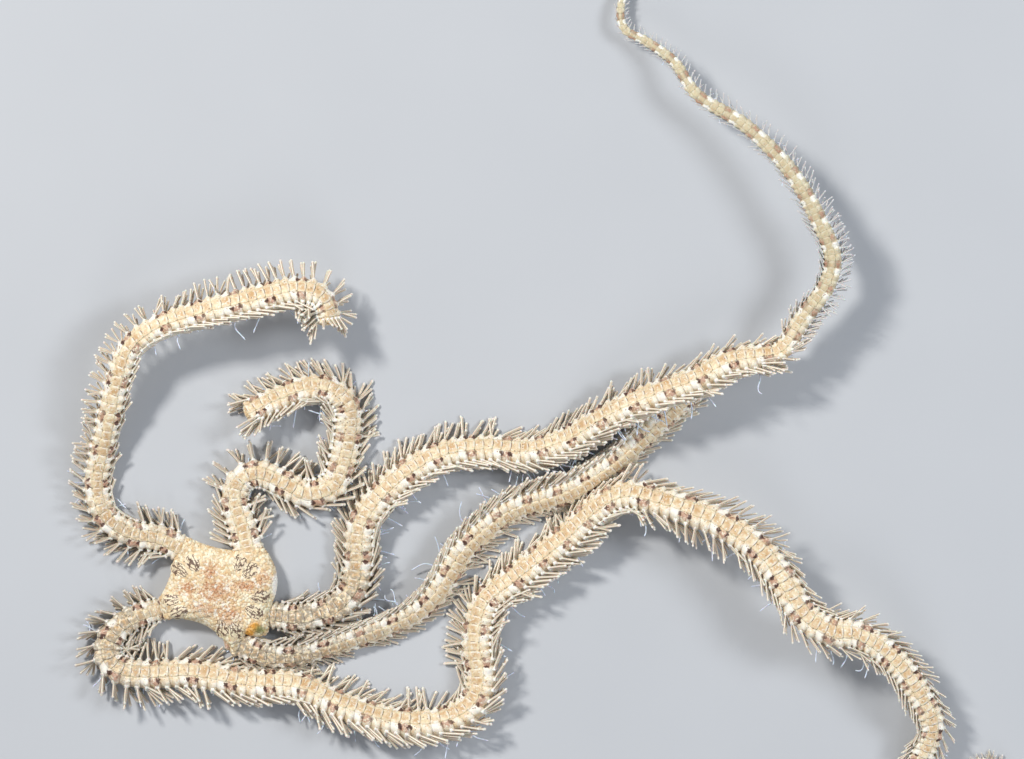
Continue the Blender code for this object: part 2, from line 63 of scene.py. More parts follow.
# The arms, as the solids have them. By millimetres from the disc: roll turns the upper side to
# the left, in degrees; dusky is how grey and brown a stretch is, ringed how pale and dark it is
# by turns, and fine how thin its spines are; bands are the middles of its dark bands, four
# segments apart. Feet are a side with a stretch and how many of its segments have long ones.
# Leans are how far the spines of a side stand off the arm's line there, in degrees. Tufts are
# spines of their own: a place, a span of the way round, how many, their lean and their length.
armPlan = {
    "a": {
        "halfWidth": ((0, 1.45), (8, 1.35), (20, 1.2), (35, 1.25), (47, 1.5), (56, 1.35)),
        "roll": ((0, 0), (10, -6), (20, -18), (26, 0), (30, 14), (36, 28), (56, 32)),
        "dusky": ((0, 0.3), (5, 0.5), (9, 0.5), (14, 0.25), (22, 0.1), (40, 0)),
        "bands": (1.5, 5.4, 9.5, 13.7, 18, 22.1, 26.5, 31, 35.3, 39.3, 43.7, 47.6, 51.2, 54.6),
        "feet": ((-1, 12, 22, 0.3), (1, 38, 50, 0.3)),
        "leans": ((-1, 1, 7, 48), (-1, 7, 12, 35), (-1, 12, 41, 68), (-1, 41, 56, 82),
                  (1, 1, 5, 55), (1, 5, 50.5, 12), (1, 50.5, 56, 66)),
        "tufts": ((55.9, -0.75, 0.75, 13, 48, 1.7),),
        "route": (
            (-4.6, 5.5, 0), (-6.9, 6.6, 0), (-10.0, 7.1, 0), (-12.7, 8.6, 0), (-14.0, 10.9, 0),
            (-14.3, 13.3, 0.1), (-13.6, 16.8, 0.8), (-12.7, 20.7, 2.0), (-11.6, 24.8, 3.2),
            (-10.1, 28.5, 4.0), (-7.5, 30.6, 4.4), (-2.3, 32.4, 4.6), (3.8, 33.9, 4.6),
            (9.0, 35.0, 4.4), (11.3, 34.5, 4.2), (12.2, 33.1, 4.0), (12.4, 31.6, 3.8),
        ),
    },
    "b": {
        "halfWidth": ((0, 1.6), (6, 1.4), (30, 1.5), (42, 1.35)),
        "roll": ((0, 0), (6, -5), (10, 2), (15, 6), (20, -8), (25, -18), (30, -30), (42, -32)),
        "dusky": ((0, 0.1), (8, 0.25), (14, 0.2), (20, 0.1), (30, 0.25), (42, 0.1)),
        "bands": (1.4, 5.4, 9.9, 13.6, 17.7, 21.9, 25.6, 29, 32.4, 36.2, 40.6),
        "feet": ((1, 14, 40, 0.5), (-1, 36, 42, 0.4)),
        "leans": ((-1, 1, 6, 20), (-1, 6, 18, 84), (-1, 18, 28, 26), (-1, 28, 33, 10),
                  (-1, 33, 42, 20), (1, 1, 5, 60), (1, 5, 12, 10), (1, 12, 15, 30), (1, 15, 20, 14),
                  (1, 20, 25, 22), (1, 25, 30, 50), (1, 30, 42, 38)),
        "tufts": ((41.0, 0.3, 0.62, 5, 13, 2.9), (41.0, -0.62, -0.3, 5, 12, 2.8)),
        "route": (
            (3.2, 5.5, 0), (2.6, 7.8, 0), (1.6, 11.2, 0), (2.3, 13.3, 0), (4.4, 14.1, 0),
            (7.2, 13.0, 0), (10.1, 11.7, 0), (13.0, 12.9, 0), (14.0, 15.4, 0), (14.6, 19.1, 0),
            (14.4, 21.9, 0), (12.4, 23.6, 0), (9.8, 23.7, 0), (6.3, 22.4, 0.2), (3.1, 20.8, 0.6),
        ),
    },
    "c": {
        "halfWidth": (
            (0, 1.4), (10, 1.55), (60, 1.5), (69, 1.45), (72, 1.0), (90, 0.9), (105, 0.72),
            (115, 0.55), (125, 0.4), (133, 0.22),
        ),
        "roll": (
            (0, 0), (8, 8), (13, 18), (20, 22), (27, 25), (31, 34), (43, 40), (68, 38), (76, 18),
            (133, 8),
        ),
        "dusky": ((0, 0.8), (6, 1), (11, 0.7), (17, 0.25), (24, 0.1), (60, 0), (74, 0), (84, 0.2)),
        "ringed": ((0, 0), (72, 0), (80, 1), (133, 1)),
        "fine": ((0, 1), (72, 1), (80, 0.78), (133, 0.78)),
        "bands": (
            2.4, 6.4, 10.4, 14.5, 18.7, 22.5, 26.2, 30, 34, 38, 42.4, 46.6, 50.8, 54.8, 58.7, 62.8,
            66.8, 71.2, 75.2, 78.5, 81.6, 84.4, 87.2, 90.2, 92.9, 95.8, 98.8, 102.2, 105.9, 109.3,
            112.9, 115.4, 117.6, 120.7, 123.4, 126, 128.4, 130.6,
        ),
        "feet": ((1, 8, 24, 0.8), (1, 38, 58, 0.8), (-1, 46, 56, 0.4), (1, 60, 70, 0.2)),
        "leans": ((-1, 0, 9, 20), (-1, 9, 17, 26), (-1, 17, 30, 36), (-1, 30, 36.5, 78),
                  (-1, 36.5, 52, 27), (-1, 52, 58, 45), (-1, 58, 69, 18), (-1, 69, 133, 24),
                  (1, 0, 9, 25), (1, 9, 44, 13), (1, 44, 49, 25), (1, 49, 58, 14), (1, 58, 69, 22),
                  (1, 69, 79, 34), (1, 79, 133, 55)),
        "tufts": (
            (70.2, 0.28, 0.72, 7, 24, 2.8), (70.6, -0.6, -0.3, 4, 15, 2.4),
            (73.6, 0.35, 0.6, 3, 22, 2.3), (132.2, -0.7, 0.7, 6, 24, 0.7),
        ),
        "route": (
            (5.8, -2.2, 0), (9.2, -2.5, 0), (13.0, -1.5, 0), (15.2, 0.5, 0), (16.0, 3.7, 0),
            (16.2, 7.4, 0), (17.1, 9.5, 0), (18.9, 11.7, 0), (22.1, 14.4, 0), (25.9, 16.2, 0),
            (30.5, 16.8, 0), (35.6, 16.5, 0), (39.9, 17.8, 0.4), (45.2, 20.9, 2.2),
            (49.9, 23.0, 3.1), (54.3, 24.6, 3.2), (58.7, 26.8, 3.3), (62.1, 27.5, 3.5),
            (64.6, 28.3, 3.8), (66.7, 31.5, 4.4), (69.7, 35.8, 5.1), (70.3, 38.9, 5.5),
            (68.5, 43.5, 5.8), (65.3, 48.9, 5.8), (60.4, 53.9, 5.0), (54.7, 57.7, 3.8),
            (52.2, 61.4, 2.9), (49.0, 63.8, 2.1), (46.6, 65.2, 1.6), (46.1, 67.2, 1.2),
            (47.0, 70.2, 0.6), (49.7, 72.2, 0.1), (53.1, 72.7, 0),
        ),
    },
    "d": {
        "halfWidth": ((0, 1.35), (10, 1.2), (20, 1.25), (28, 1.5), (62, 1.4)),
        "roll": ((0, -4), (4, -20), (8, -34), (25, -36), (35, -40), (55, -42), (62, -30)),
        "dusky": ((0, 0.9), (7, 0.9), (12, 0.6), (18, 0.35), (26, 0.1), (62, 0)),
        "bands": (
            1.8, 5.9, 10, 14.4, 18.5, 22.9, 27.2, 31.6, 35.9, 39.8, 43.4, 46.9, 50.8, 54.8, 58.6,
        ),
        "feet": ((-1, 4, 21, 0.8), (-1, 24, 31, 0.3), (-1, 35, 54, 0.9)),
        "leans": ((-1, 0, 33, 12), (-1, 33, 43, 32), (-1, 43, 62, 12), (1, 0, 9, 42),
                  (1, 9, 20, 22), (1, 20, 31, 38), (1, 31, 50, 28), (1, 50, 62, 22)),
        "tufts": (),
        "route": (
            (2.3, -5.6, 0), (5.5, -6.8, 0), (9.2, -6.6, 0), (15.0, -4.9, 0), (18.7, -3.6, 0),
            (22.1, -2.0, 0), (24.6, 0.3, 0), (27.6, 5.1, 0), (30.9, 8.3, 0), (33.7, 10.2, 0),
            (36.8, 11.2, 0), (39.9, 12.2, 0), (45.4, 15.6, 0), (50.3, 20.1, 0), (53.6, 23.3, 0),
        ),
    },
    "e": {
        "halfWidth": (
            (0, 1.2), (12, 1.5), (60, 1.6), (115, 1.5), (125, 1.35), (135, 1.2), (145, 0.95),
            (155, 0.65), (161, 0.3),
        ),
        "roll": (
            (0, 0), (8, 6), (15, 22), (25, 28), (36, 36), (50, 38), (57, 24), (66, 28), (86, 30),
            (93, 26), (100, 15), (125, 8), (161, 0),
        ),
        "dusky": ((0, 0.3), (4, 0.8), (10, 0.7), (15, 0.3), (22, 0.1), (161, 0)),
        "bands": (
            2.4, 6.8, 11.2, 15.5, 20, 24.5, 29, 32.8, 36.7, 40.8, 45.2, 50, 54.6, 58.7, 62.7, 66.4,
            70.2, 73.7, 77.4, 81.2, 84.9, 89.2, 94.1, 99, 103.1, 107.2, 111.8, 115.8, 119.6, 123.3,
            127, 130.5, 134, 137.4, 140.6, 143.7, 146.8, 149.8, 152.6, 155.3, 157.8,
        ),
        "feet": ((1, 5, 16, 0.5), (1, 32, 62, 0.4), (1, 66, 80, 0.4), (1, 88, 118, 0.5),
                 (-1, 20, 32, 0.3), (-1, 60, 70, 0.3), (-1, 96, 112, 0.25)),
        "leans": ((-1, 0, 6.5, 24), (-1, 6.5, 17, 78), (-1, 17, 29, 32), (-1, 29, 33, 20),
                  (-1, 33, 37, 82), (-1, 37, 45, 40), (-1, 45, 49, 80), (-1, 49, 58, 20),
                  (-1, 58, 64, 50), (-1, 64, 72, 40), (-1, 72, 76, 18), (-1, 76, 88, 52),
                  (-1, 88, 98, 22), (-1, 98, 105, 34), (-1, 105, 118, 26), (-1, 118, 161, 22),
                  (1, 0, 13, 48), (1, 13, 22, 42), (1, 22, 32, 13), (1, 32, 38, 36),
                  (1, 38, 50, 22), (1, 50, 72, 23), (1, 72, 82, 32), (1, 82, 88, 12),
                  (1, 88, 100, 40), (1, 100, 112, 25), (1, 112, 150, 18),
                  (1, 150, 161, 60)),
        "tufts": ((160.2, -0.7, 0.7, 6, 24, 0.8), (155.4, 0.1, 0.72, 7, 66, 1.3),
                  (156.4, 0.1, 0.72, 7, 70, 1.4), (157.4, 0.1, 0.72, 7, 74, 1.4),
                  (158.4, 0.1, 0.72, 7, 70, 1.3)),
        "fine": ((0, 1), (86, 1), (96, 0.72), (161, 0.68)),
        "route": (
            (-6.7, -1.5, 0), (-8.6, -2.0, 0), (-10.7, -2.9, 0), (-12.8, -5.1, 0),
            (-12.9, -7.2, 0), (-11.4, -8.6, 0), (-8.1, -9.1, 0), (-3.3, -9.0, 0),
            (3.5, -10.2, 0), (8.9, -10.5, 0), (14.1, -12.8, 0), (20.4, -14.6, 0),
            (25.3, -14.6, 0), (28.8, -12.9, 0), (30.1, -10.0, 0), (29.7, -5.1, 0),
            (30.6, -1.0, 0), (33.9, 1.8, 0), (40.0, 6.7, 0.1), (43.7, 10.1, 0.9),
            (46.8, 11.5, 1.9), (50.6, 10.8, 3.0), (57.2, 8.5, 4.3), (61.8, 5.4, 4.9),
            (64.4, 2.0, 5.1), (67.0, -2.1, 5.1), (70.2, -4.0, 5.0), (73.0, -4.3, 4.8),
            (77.3, -7.2, 4.2), (80.3, -11.3, 3.3), (81.8, -14.7, 2.3), (81.0, -17.7, 1.3),
            (79.9, -20.9, 0.5), (81.0, -24.2, 0.1), (84.0, -26.2, 0), (87.5, -25.5, 0),
            (89.8, -22.8, 0), (89.5, -20.0, 0), (87.4, -19.2, 0), (85.7, -20.6, 0),
        ),
    },
}
section = {
    "heightShare": 0.78,        # of an arm over its width
    "squareness": 2.8,          # 2 is an ellipse
    "step": 0.1,                # along the arm
    "spanSteps": 60,            # points of the curve from one point of the route to the next
    "lookAhead": 0.5,           # how far off the points lie that give the way along
    "mouthShare": 0.3,          # where an arm starts under the disc, on the way out to its root
    "mouthWidth": 0.6,          # how wide it is there, over its root
    "perBand": 4,               # segments from one band to the next
    "bandAt": 0.5,              # where in its segment a band lies
    "toMiddle": 1.5,            # added to the count, so that bands are in the middle of their four
    "pitchBase": 0.3,           # a segment beyond the last band, and how it grows with the width
    "pitchGrowth": 0.48,
    "evened": 12,               # steps to either side that the count of segments is evened over
    "unwrapRow": 9,             # the rows of the unwrap are the root of the length over this
}


def hermite(start, end, startSlope, endSlope, share):
    return (
        (2 * share**3 - 3 * share**2 + 1) * start + (share**3 - 2 * share**2 + share) * startSlope
        + (3 * share**2 - 2 * share**3) * end + (share**3 - share**2) * endSlope
    )


def lengths(points):
    return np.concatenate(([0], np.cumsum(np.linalg.norm(np.diff(points, axis=0), axis=1))))


def unit(vectors):
    return vectors / np.maximum(np.linalg.norm(vectors, axis=-1, keepdims=True), 1e-9)


# Values read off a table of pairs.
def fromPairs(at, pairs):
    return np.interp(at, *np.array(pairs, float).T)


# A smooth bump of height 1.
def hump(x, at, wide):
    return np.exp(-((x - at) / wide) ** 2)


bend = 2 / section["squareness"]
turns = np.linspace(0, np.pi, 721)      # from the top of a section to its underside
outline = np.stack([
    np.abs(np.sin(turns)) ** bend,
    section["heightShare"] * np.sign(np.cos(turns)) * np.abs(np.cos(turns)) ** bend,
], 1)
girth = lengths(outline)
halfGirth = girth[-1]                   # for an arm 1 mm to each side
girth = girth / halfGirth


# One arm: places on it are given along it and round it, from 0 on top to 1 underneath.
class Arm:
    def __init__(self, name, plan):
        self.name = name
        self.plan = plan
        points = np.array(plan["route"], float)
        spans = np.sqrt(np.linalg.norm(np.diff(points, axis=0), axis=1))
        knots = np.concatenate(([0], np.cumsum(spans)))
        slopes = np.gradient(points, knots, axis=0)
        share = np.linspace(0, 1, section["spanSteps"], endpoint=False)[:, None]
        dense = [
            hermite(points[i], points[i + 1], span * slopes[i], span * slopes[i + 1], share)
            for i, span in enumerate(spans)
        ]
        dense = np.concatenate(dense + [points[-1:]])
        dense[:, 2] = np.maximum(dense[:, 2], 0)
        along = lengths(dense)
        self.length = along[-1]
        inner = section["mouthShare"] * points[0]
        reach = np.linalg.norm(points[0] - inner)
        share = np.linspace(0, 1, section["spanSteps"])[:, None]
        root = hermite(
            inner, points[0], unit(points[0]) * reach, unit(dense[3] - dense[0]) * reach, share
        )
        rootAlong = lengths(root)
        self.start = -rootAlong[-1]
        self.along = np.arange(self.start, self.length, section["step"])
        allPoints = np.concatenate([root[:-1], dense])
        allAlong = np.concatenate([rootAlong[:-1] - rootAlong[-1], along])
        way = np.stack([np.interp(self.along, allAlong, allPoints[:, k]) for k in range(3)], 1)
        wide = int(section["lookAhead"] / section["step"])
        ahead = np.concatenate([way[wide:], np.repeat(way[-1:], wide, 0)])
        behind = np.concatenate([np.repeat(way[:1], wide, 0), way[:-wide]])
        forward = unit(ahead - behind)
        right = unit(np.cross(forward, [0, 0, 1]))
        up = np.cross(right, forward)
        width = fromPairs(self.along, plan["halfWidth"])
        width *= np.interp(self.along, (self.start, 0), (section["mouthWidth"], 1))
        roll = np.radians(fromPairs(self.along, plan["roll"]))
        height = width * section["heightShare"]
        dual = section["squareness"] / (section["squareness"] - 1)
        stand = np.abs(width * np.sin(roll)) ** dual + np.abs(height * np.cos(roll)) ** dual
        sin, cos = np.sin(roll)[:, None], np.cos(roll)[:, None]
        self.table = {
            "core": way + up * (stand ** (1 / dual))[:, None],
            "right": right * cos + up * sin,
            "up": up * cos - right * sin,
            "forward": forward,
            "width": width,
            "count": self.countSegments(width),
            "dusky": fromPairs(self.along, plan["dusky"])
                     * np.interp(self.along, (-1.5, 0), (0.15, 1)),
            "ringed": fromPairs(self.along, plan.get("ringed", ((0, 0), (1, 0)))),
        }
        self.rows = max(1, round(np.sqrt(self.length / section["unwrapRow"])))
        self.rowLength = (self.length - self.start) / self.rows

    # The segments along the arm, counted from band to band.
    def countSegments(self, width):
        pitch = section["pitchBase"] + section["pitchGrowth"] * width[[0, -1]]
        bandAt = np.array(self.plan["bands"], float)
        number = section["perBand"] * np.arange(len(bandAt)) + section["bandAt"]
        low = number[0] - (bandAt[0] - self.start) / pitch[0]
        high = number[-1] + round((self.length - bandAt[-1]) / pitch[1]) + section["bandAt"]
        count = np.interp(self.along, [self.start, *bandAt, self.length], [low, *number, high])
        count = np.pad(count, section["evened"], mode="reflect", reflect_type="odd")
        steps = 2 * section["evened"] + 1
        return np.convolve(count, np.ones(steps) / steps, "valid")

    # One of the table's values, at any places along the arm.
    def read(self, what, along):
        values = self.table[what]
        at = (np.asarray(along, float) - self.start) / section["step"]
        low = np.clip(np.floor(at).astype(int), 0, len(values) - 2)
        share = np.clip(at - low, 0, 1)
        if values.ndim > 1:
            share = share[..., None]
        return values[low] * (1 - share) + values[low + 1] * share

    # How wide the arm is over a full-grown one.
    def size(self, along):
        return self.read("width", along) / usualWidth

    # Where each segment starts, from so many before the disc's edge.
    def starts(self, before=0):
        count = self.table["count"]
        first = max(np.ceil(np.interp(0, self.along, count)) - before, np.ceil(count[0]))
        return np.interp(np.arange(first, count[-1] + 0.4), count, self.along)

    # Points over the arm, and the way out from it there.
    def wrap(self, along, roundAt, out):
        along, roundAt, out = np.broadcast_arrays(along, roundAt, out)
        share = (roundAt + 1) % 2 - 1
        turn = np.interp(np.abs(share), girth, turns) * np.sign(share)
        sin, cos = np.sin(turn), np.cos(turn)
        width = self.read("width", along)
        height = width * section["heightShare"]
        across = width * np.sign(sin) * np.abs(sin) ** bend
        above = height * np.sign(cos) * np.abs(cos) ** bend
        outward = unit(np.stack([
            np.sign(sin) * np.abs(sin) ** (2 - bend) / width,
            np.sign(cos) * np.abs(cos) ** (2 - bend) / height,
        ], -1))
        across = (across + outward[..., 0] * out)[..., None]
        above = (above + outward[..., 1] * out)[..., None]
        right, up = self.read("right", along), self.read("up", along)
        points = self.read("core", along) + right * across + up * above
        return points, right * outward[..., 0:1] + up * outward[..., 1:2]

    # The place on the arm's own unwrap, laid out in rows with a margin.
    def unwrap(self, root, along, roundAt):
        row = np.clip(np.floor((root - self.start) / self.rowLength), 0, self.rows - 1)
        x = 0.02 + 0.94 * (along - self.start - row * self.rowLength) / self.rowLength
        y = (row + 0.04 + 0.4 * (roundAt + 1)) / self.rows
        return np.stack(np.broadcast_arrays(x, y), -1)

    # What the markings read: segments counted from a band, the way round, and the dusk.
    def marks(self, along, roundAt):
        return {
            "segment": self.read("count", along) + section["toMiddle"],
            "round": np.abs((roundAt + 1) % 2 - 1),
            "dusky": self.read("dusky", along),
            "ringed": self.read("ringed", along),
        }


arms = {name: Arm(name, plan) for name, plan in armPlan.items()}
print("arms laid out:", {name: len(arm.starts()) - 1 for name, arm in arms.items()}, "segments")


# The disc: its edge runs from arm to arm, as in the solids.
disc = {
    "height": 3.4, "order": "bcdea", "faceWidth": 1.04,
    "bulge": {"ab": (-0.35, 0), "bc": (1.1, 0.9), "cd": (0.9, 0), "de": (-1.6, 0), "ea": (-0.3, 0)},
    "profile": (                # share of the outline and of the height, from the mouth outwards
        (0, 0.26), (0.16, 0.24), (0.22, 0.10), (0.62, 0.07), (0.84, 0.10), (0.965, 0.28),
        (1.0, 0.50), (0.965, 0.69), (0.86, 0.845), (0.62, 0.945), (0.30, 0.985), (0, 0.99),
    ),
    "usualRadius": 6.5, "profileSteps": 400, "rounded": 10,
    "puff": 0.05, "lumps": 0.04, "puffFrom": 0.6, "lumpsFrom": 0.55,    # the last two as q
    "backSteps": slice(None, 200, -1),      # of the profile, from the middle of the back outwards
    "clearSteps": slice(None, 220, -1), "clearShare": 1.02, "clear": 0.1,
}


# The edge's distance from the middle, all the way round.
def discOutline():
    corners = {}
    for name in disc["order"]:
        root = np.array(armPlan[name]["route"][0], float)
        wide = armPlan[name]["halfWidth"][0][1] * disc["faceWidth"]
        forward = arms[name].read("forward", 0.0)
        flat = unit(np.array([forward[0], forward[1], 0]))
        across = np.array([flat[1], -flat[0], 0]) * wide
        corners[name] = (root - across, root + across)
    edge = []
    for name, after in zip(disc["order"], disc["order"][1:] + disc["order"][0]):
        left, right = corners[name]
        end = corners[after][0]
        out, towards = disc["bulge"][name + after]
        middle = (right + end) / 2
        control = middle + unit(middle) * 2 * out + unit(end - right) * towards
        share = np.linspace(0, 1, 24)[:, None]
        edge.append(left + (right - left) * np.linspace(0, 1, 10, endpoint=False)[:, None])
        edge.append(right * (1 - share) ** 2 + control * 2 * share * (1 - share) + end * share**2)
    edge = np.concatenate(edge)
    angles = np.arctan2(edge[:, 1], edge[:, 0])
    order = np.argsort(angles)
    return angles[order], np.linalg.norm(edge[:, :2], axis=1)[order]


edgeAngles, edgeRadii = discOutline()
profile = np.array(disc["profile"], float)
profileAt = lengths(profile * [disc["usualRadius"], disc["height"]])
profileAt = profileAt / profileAt[-1]
fine = np.linspace(0, 1, disc["profileSteps"])
profileFine = np.stack([np.interp(fine, profileAt, profile[:, k]) for k in (0, 1)], 1)
soften = np.ones(2 * disc["rounded"] + 1) / (2 * disc["rounded"] + 1)
for k in (0, 1):                # round its corners off
    padded = np.pad(profileFine[:, k], disc["rounded"], mode="edge")
    profileFine[:, k] = np.convolve(padded, soften, "valid")


def edgeAt(angle):
    return np.interp(angle, edgeAngles, edgeRadii, period=2 * np.pi)


def angleOf(points):
    return np.arctan2(points[..., 1], points[..., 0])


# A point on the disc: q runs from the mouth, 0, over the edge to the middle of the back, 1.
def discPoint(angle, q):
    angle, q = np.broadcast_arrays(angle, q)
    share = np.interp(q, fine, profileFine[:, 0])
    level = np.interp(q, fine, profileFine[:, 1])
    radius = edgeAt(angle) * share
    puff = disc["puff"] * np.sin(angle * 5 + 1) * np.clip(share, 0, 1) * (q > disc["puffFrom"])
    lumps = disc["lumps"] * np.sin(angle * 9 + share * 7) * np.sin(share * 9 + angle * 3)
    swell = (puff * 0.3 + lumps * (q > disc["lumpsFrom"])) * np.clip(share, 0, 1)
    z = disc["height"] * (level + swell)
    return np.stack([radius * np.cos(angle), radius * np.sin(angle), z], -1)


# A point on the disc with the way outwards along its surface and the way out from it.
def discFrame(angle, q):
    here = discPoint(angle, q)
    outer = unit(discPoint(angle, q - 0.004) - discPoint(angle, q + 0.004))
    along = unit(discPoint(angle + 0.01, q) - discPoint(angle - 0.01, q))
    normal = unit(np.cross(outer, along))
    return here, outer, np.cross(normal, outer), normal


# How far out points are, as a share of the way to the disc's edge.
def edgeShare(points):
    return np.hypot(points[..., 0], points[..., 1]) / edgeAt(angleOf(points))


def insideDisc(points):
    share = edgeShare(points)
    back = profileFine[disc["clearSteps"]]
    top = np.interp(share, back[:, 0], back[:, 1]) * disc["height"]
    return (share < disc["clearShare"]) & (points[..., 2] < top + disc["clear"])


# Height of the disc's back over places.
def discTop(points):
    steps = disc["backSteps"]
    q = np.interp(edgeShare(points), profileFine[steps, 0], fine[steps])
    return discPoint(angleOf(points), q)[..., 2]


# Shapes that repeat: corners as u, v and a layer, and faces as runs of corners.
# A closed shell: u from -1 to 1, v from 0 to 1, layer 0 on top and 1 below.
def plateShape(across, along):
    v, u = np.meshgrid(np.linspace(0, 1, along + 1), np.linspace(-1, 1, across + 1), indexing="ij")
    index = np.arange(u.size).reshape(u.shape)
    low = u.size
    top = np.stack([index[:-1, :-1], index[:-1, 1:], index[1:, 1:], index[1:, :-1]], -1)
    top = top.reshape(-1, 4)
    rim = np.concatenate([index[0, :-1], index[:-1, -1], index[-1, :0:-1], index[:0:-1, 0]])
    after = np.roll(rim, -1)
    side = np.stack([after, rim, rim + low, after + low], 1)
    faces = [list(f) for f in np.concatenate([top, top[:, ::-1] + low, side])]
    layer = np.repeat([0.0, 1.0], low)
    return {"u": np.tile(u.ravel(), 2), "v": np.tile(v.ravel(), 2), "layer": layer, "faces": faces}


# A closed tube: v from 0 to 1 along it, turn in radians round it, and its own small patch.
def tubeShape(rings, sides):
    index = np.arange(rings * sides).reshape(rings, sides)
    faces, patch = [], []
    for i in range(rings - 1):
        for k in range(sides):
            after = (k + 1) % sides
            faces.append([index[i, k], index[i, after], index[i + 1, after], index[i + 1, k]])
            x0, x1 = k / sides, (k + 1) / sides
            y0, y1 = i / (rings - 1), (i + 1) / (rings - 1)
            patch += [(x0, y0), (x1, y0), (x1, y1), (x0, y1)]
    angle = 2 * np.pi * np.arange(sides) / sides
    for end, order, y in ((0, -1, -0.06), (rings - 1, 1, 1.06)):
        faces.append(list(index[end, ::order]))
        patch += [(0.5 + 0.1 * np.cos(a), y + 0.05 * np.sin(a)) for a in angle[::order]]
    v = np.repeat(np.linspace(0, 1, rings), sides)
    return {"v": v, "turn": np.tile(angle, rings), "faces": faces, "patch": np.array(patch)}


# A low closed dome: reach from 0 in the middle to 1 at the rim, for rings of corners.
def domeShape(sides, rings):
    reach = np.repeat(rings, sides)
    turn = np.tile(2 * np.pi * np.arange(sides) / sides, len(rings))
    index = np.arange(len(rings) * sides).reshape(len(rings), sides)
    faces = [list(index[0])]
    for i in range(len(rings) - 1):
        for k in range(sides):
            after = (k + 1) % sides
            faces.append([index[i, after], index[i, k], index[i + 1, k], index[i + 1, after]])
    faces.append(list(index[-1, ::-1]))
    return {"reach": reach, "turn": turn, "ring": np.repeat(np.arange(len(rings)), sides),
            "faces": faces}


# Copies of one shape as a mesh object: points are (copies, corners, 3), in millimetres. The place
# on the unwrap is given for each corner, or with onFaces for each corner of each face.
def stamp(name, shape, points, values, material, uv, onFaces=False):
    copies, size = points.shape[:2]
    each = np.arange(copies)[:, None]
    run = np.concatenate([np.array(face) for face in shape["faces"]])
    counts = [len(face) for face in shape["faces"]]
    starts = np.concatenate(([0], np.cumsum(counts)[:-1]))
    points = points.reshape(-1, 3) * mm
    points[:, 2] = np.maximum(points[:, 2], 0)
    mesh = bpy.data.meshes.new(name)
    mesh.vertices.add(len(points))
    mesh.vertices.foreach_set("co", points.astype(np.float32).ravel())
    mesh.loops.add(copies * len(run))
    mesh.loops.foreach_set("vertex_index", (run + size * each).astype(np.int32).ravel())
    mesh.polygons.add(copies * len(starts))
    mesh.polygons.foreach_set("loop_start", (starts + len(run) * each).astype(np.int32).ravel())
    mesh.update(calc_edges=True)
    uv = uv if onFaces else uv[:, run]
    layer = mesh.uv_layers.new(name="OFBake")
    layer.data.foreach_set("uv", uv.astype(np.float32).ravel())
    for key, value in values.items():
        value = np.broadcast_to(value, (copies, size)).astype(np.float32)
        mesh.attributes.new(key, "FLOAT", "POINT").data.foreach_set("value", value.ravel())
    mesh.shade_smooth()
    mesh.materials.append(material)
    piece = bpy.data.objects.new(name, mesh)
    bpy.context.scene.collection.objects.link(piece)
    return piece


def place(piece, slotName, *nodes):
    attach(piece, "root")
    if nodes:
        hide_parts(*nodes)


# Colours by name, as linear red, green and blue.
paint = {
    "cream": (0.82, 0.60, 0.34), "paleCream": (0.94, 0.82, 0.58), "chalk": (0.96, 0.93, 0.84),
    "tan": (0.62, 0.385, 0.18), "brown": (0.24, 0.12, 0.065), "dusk": (0.24, 0.20, 0.15),
    "spot": (0.085, 0.035, 0.024), "rosy": (0.48, 0.26, 0.175), "glow": (0.97, 0.94, 0.87),
    "ringTone": (0.56, 0.50, 0.33), "ringDark": (0.25, 0.18, 0.12),
    "sideRidgeAndHighlight": (0.95, 0.89, 0.74), "sideMiddle": (0.80, 0.60, 0.36),
    "rodDark": (0.47, 0.385, 0.29), "rodPale": (0.70, 0.595, 0.46), "rodRibAndHighlight": (0.90, 0.84, 0.71),
    "rodCore": (0.27, 0.20, 0.14), "rodRoot": (0.94, 0.91, 0.85), "rodTip": (0.90, 0.87, 0.80),
    "rodRinged": (0.56, 0.61, 0.68),
    "foot": (0.60, 0.69, 0.88), "footPale": (0.80, 0.86, 0.95), "footRoot": (0.70, 0.62, 0.52),
    "russet": (0.58, 0.27, 0.125), "chestnut": (0.36, 0.14, 0.065), "milk": (0.97, 0.91, 0.80),
    "umber": (0.22, 0.095, 0.05), "sage": (0.58, 0.57, 0.38), "saffron": (0.80, 0.40, 0.07),
    "lime": (0.20, 0.205, 0.06), "pale": (0.97, 0.94, 0.89),
    "scaleDark": (0.76, 0.54, 0.30), "scalePale": (0.97, 0.88, 0.67),
    "scaleEdge": (0.42, 0.25, 0.13),
    "shieldDark": (0.80, 0.61, 0.38), "shieldPale": (0.95, 0.86, 0.66), "ink": (0.10, 0.045, 0.028),
    "floorDark": (0.49, 0.51, 0.54), "floorPale": (0.52, 0.54, 0.57),
}


def sign(kind):
    return lambda *values: values[0].tree.math(kind, *values)


# A value in a material, which takes the usual signs of arithmetic.
class Value:
    __add__, __sub__, __mul__ = sign("ADD"), sign("SUBTRACT"), sign("MULTIPLY")
    __truediv__, __mod__, __abs__ = sign("DIVIDE"), sign("FLOORED_MODULO"), sign("ABSOLUTE")

    def __init__(self, tree, socket):
        self.tree = tree
        self.socket = socket

    def __rsub__(self, other):
        return self.tree.math("SUBTRACT", other, self)

    # 0 below low and 1 above high, or the other way round where low is the larger.
    def between(self, low, high):
        inputs = {"Value": self, "From Min": low, "From Max": high}
        return self.tree.add("ShaderNodeMapRange", inputs, interpolation_type="SMOOTHSTEP")


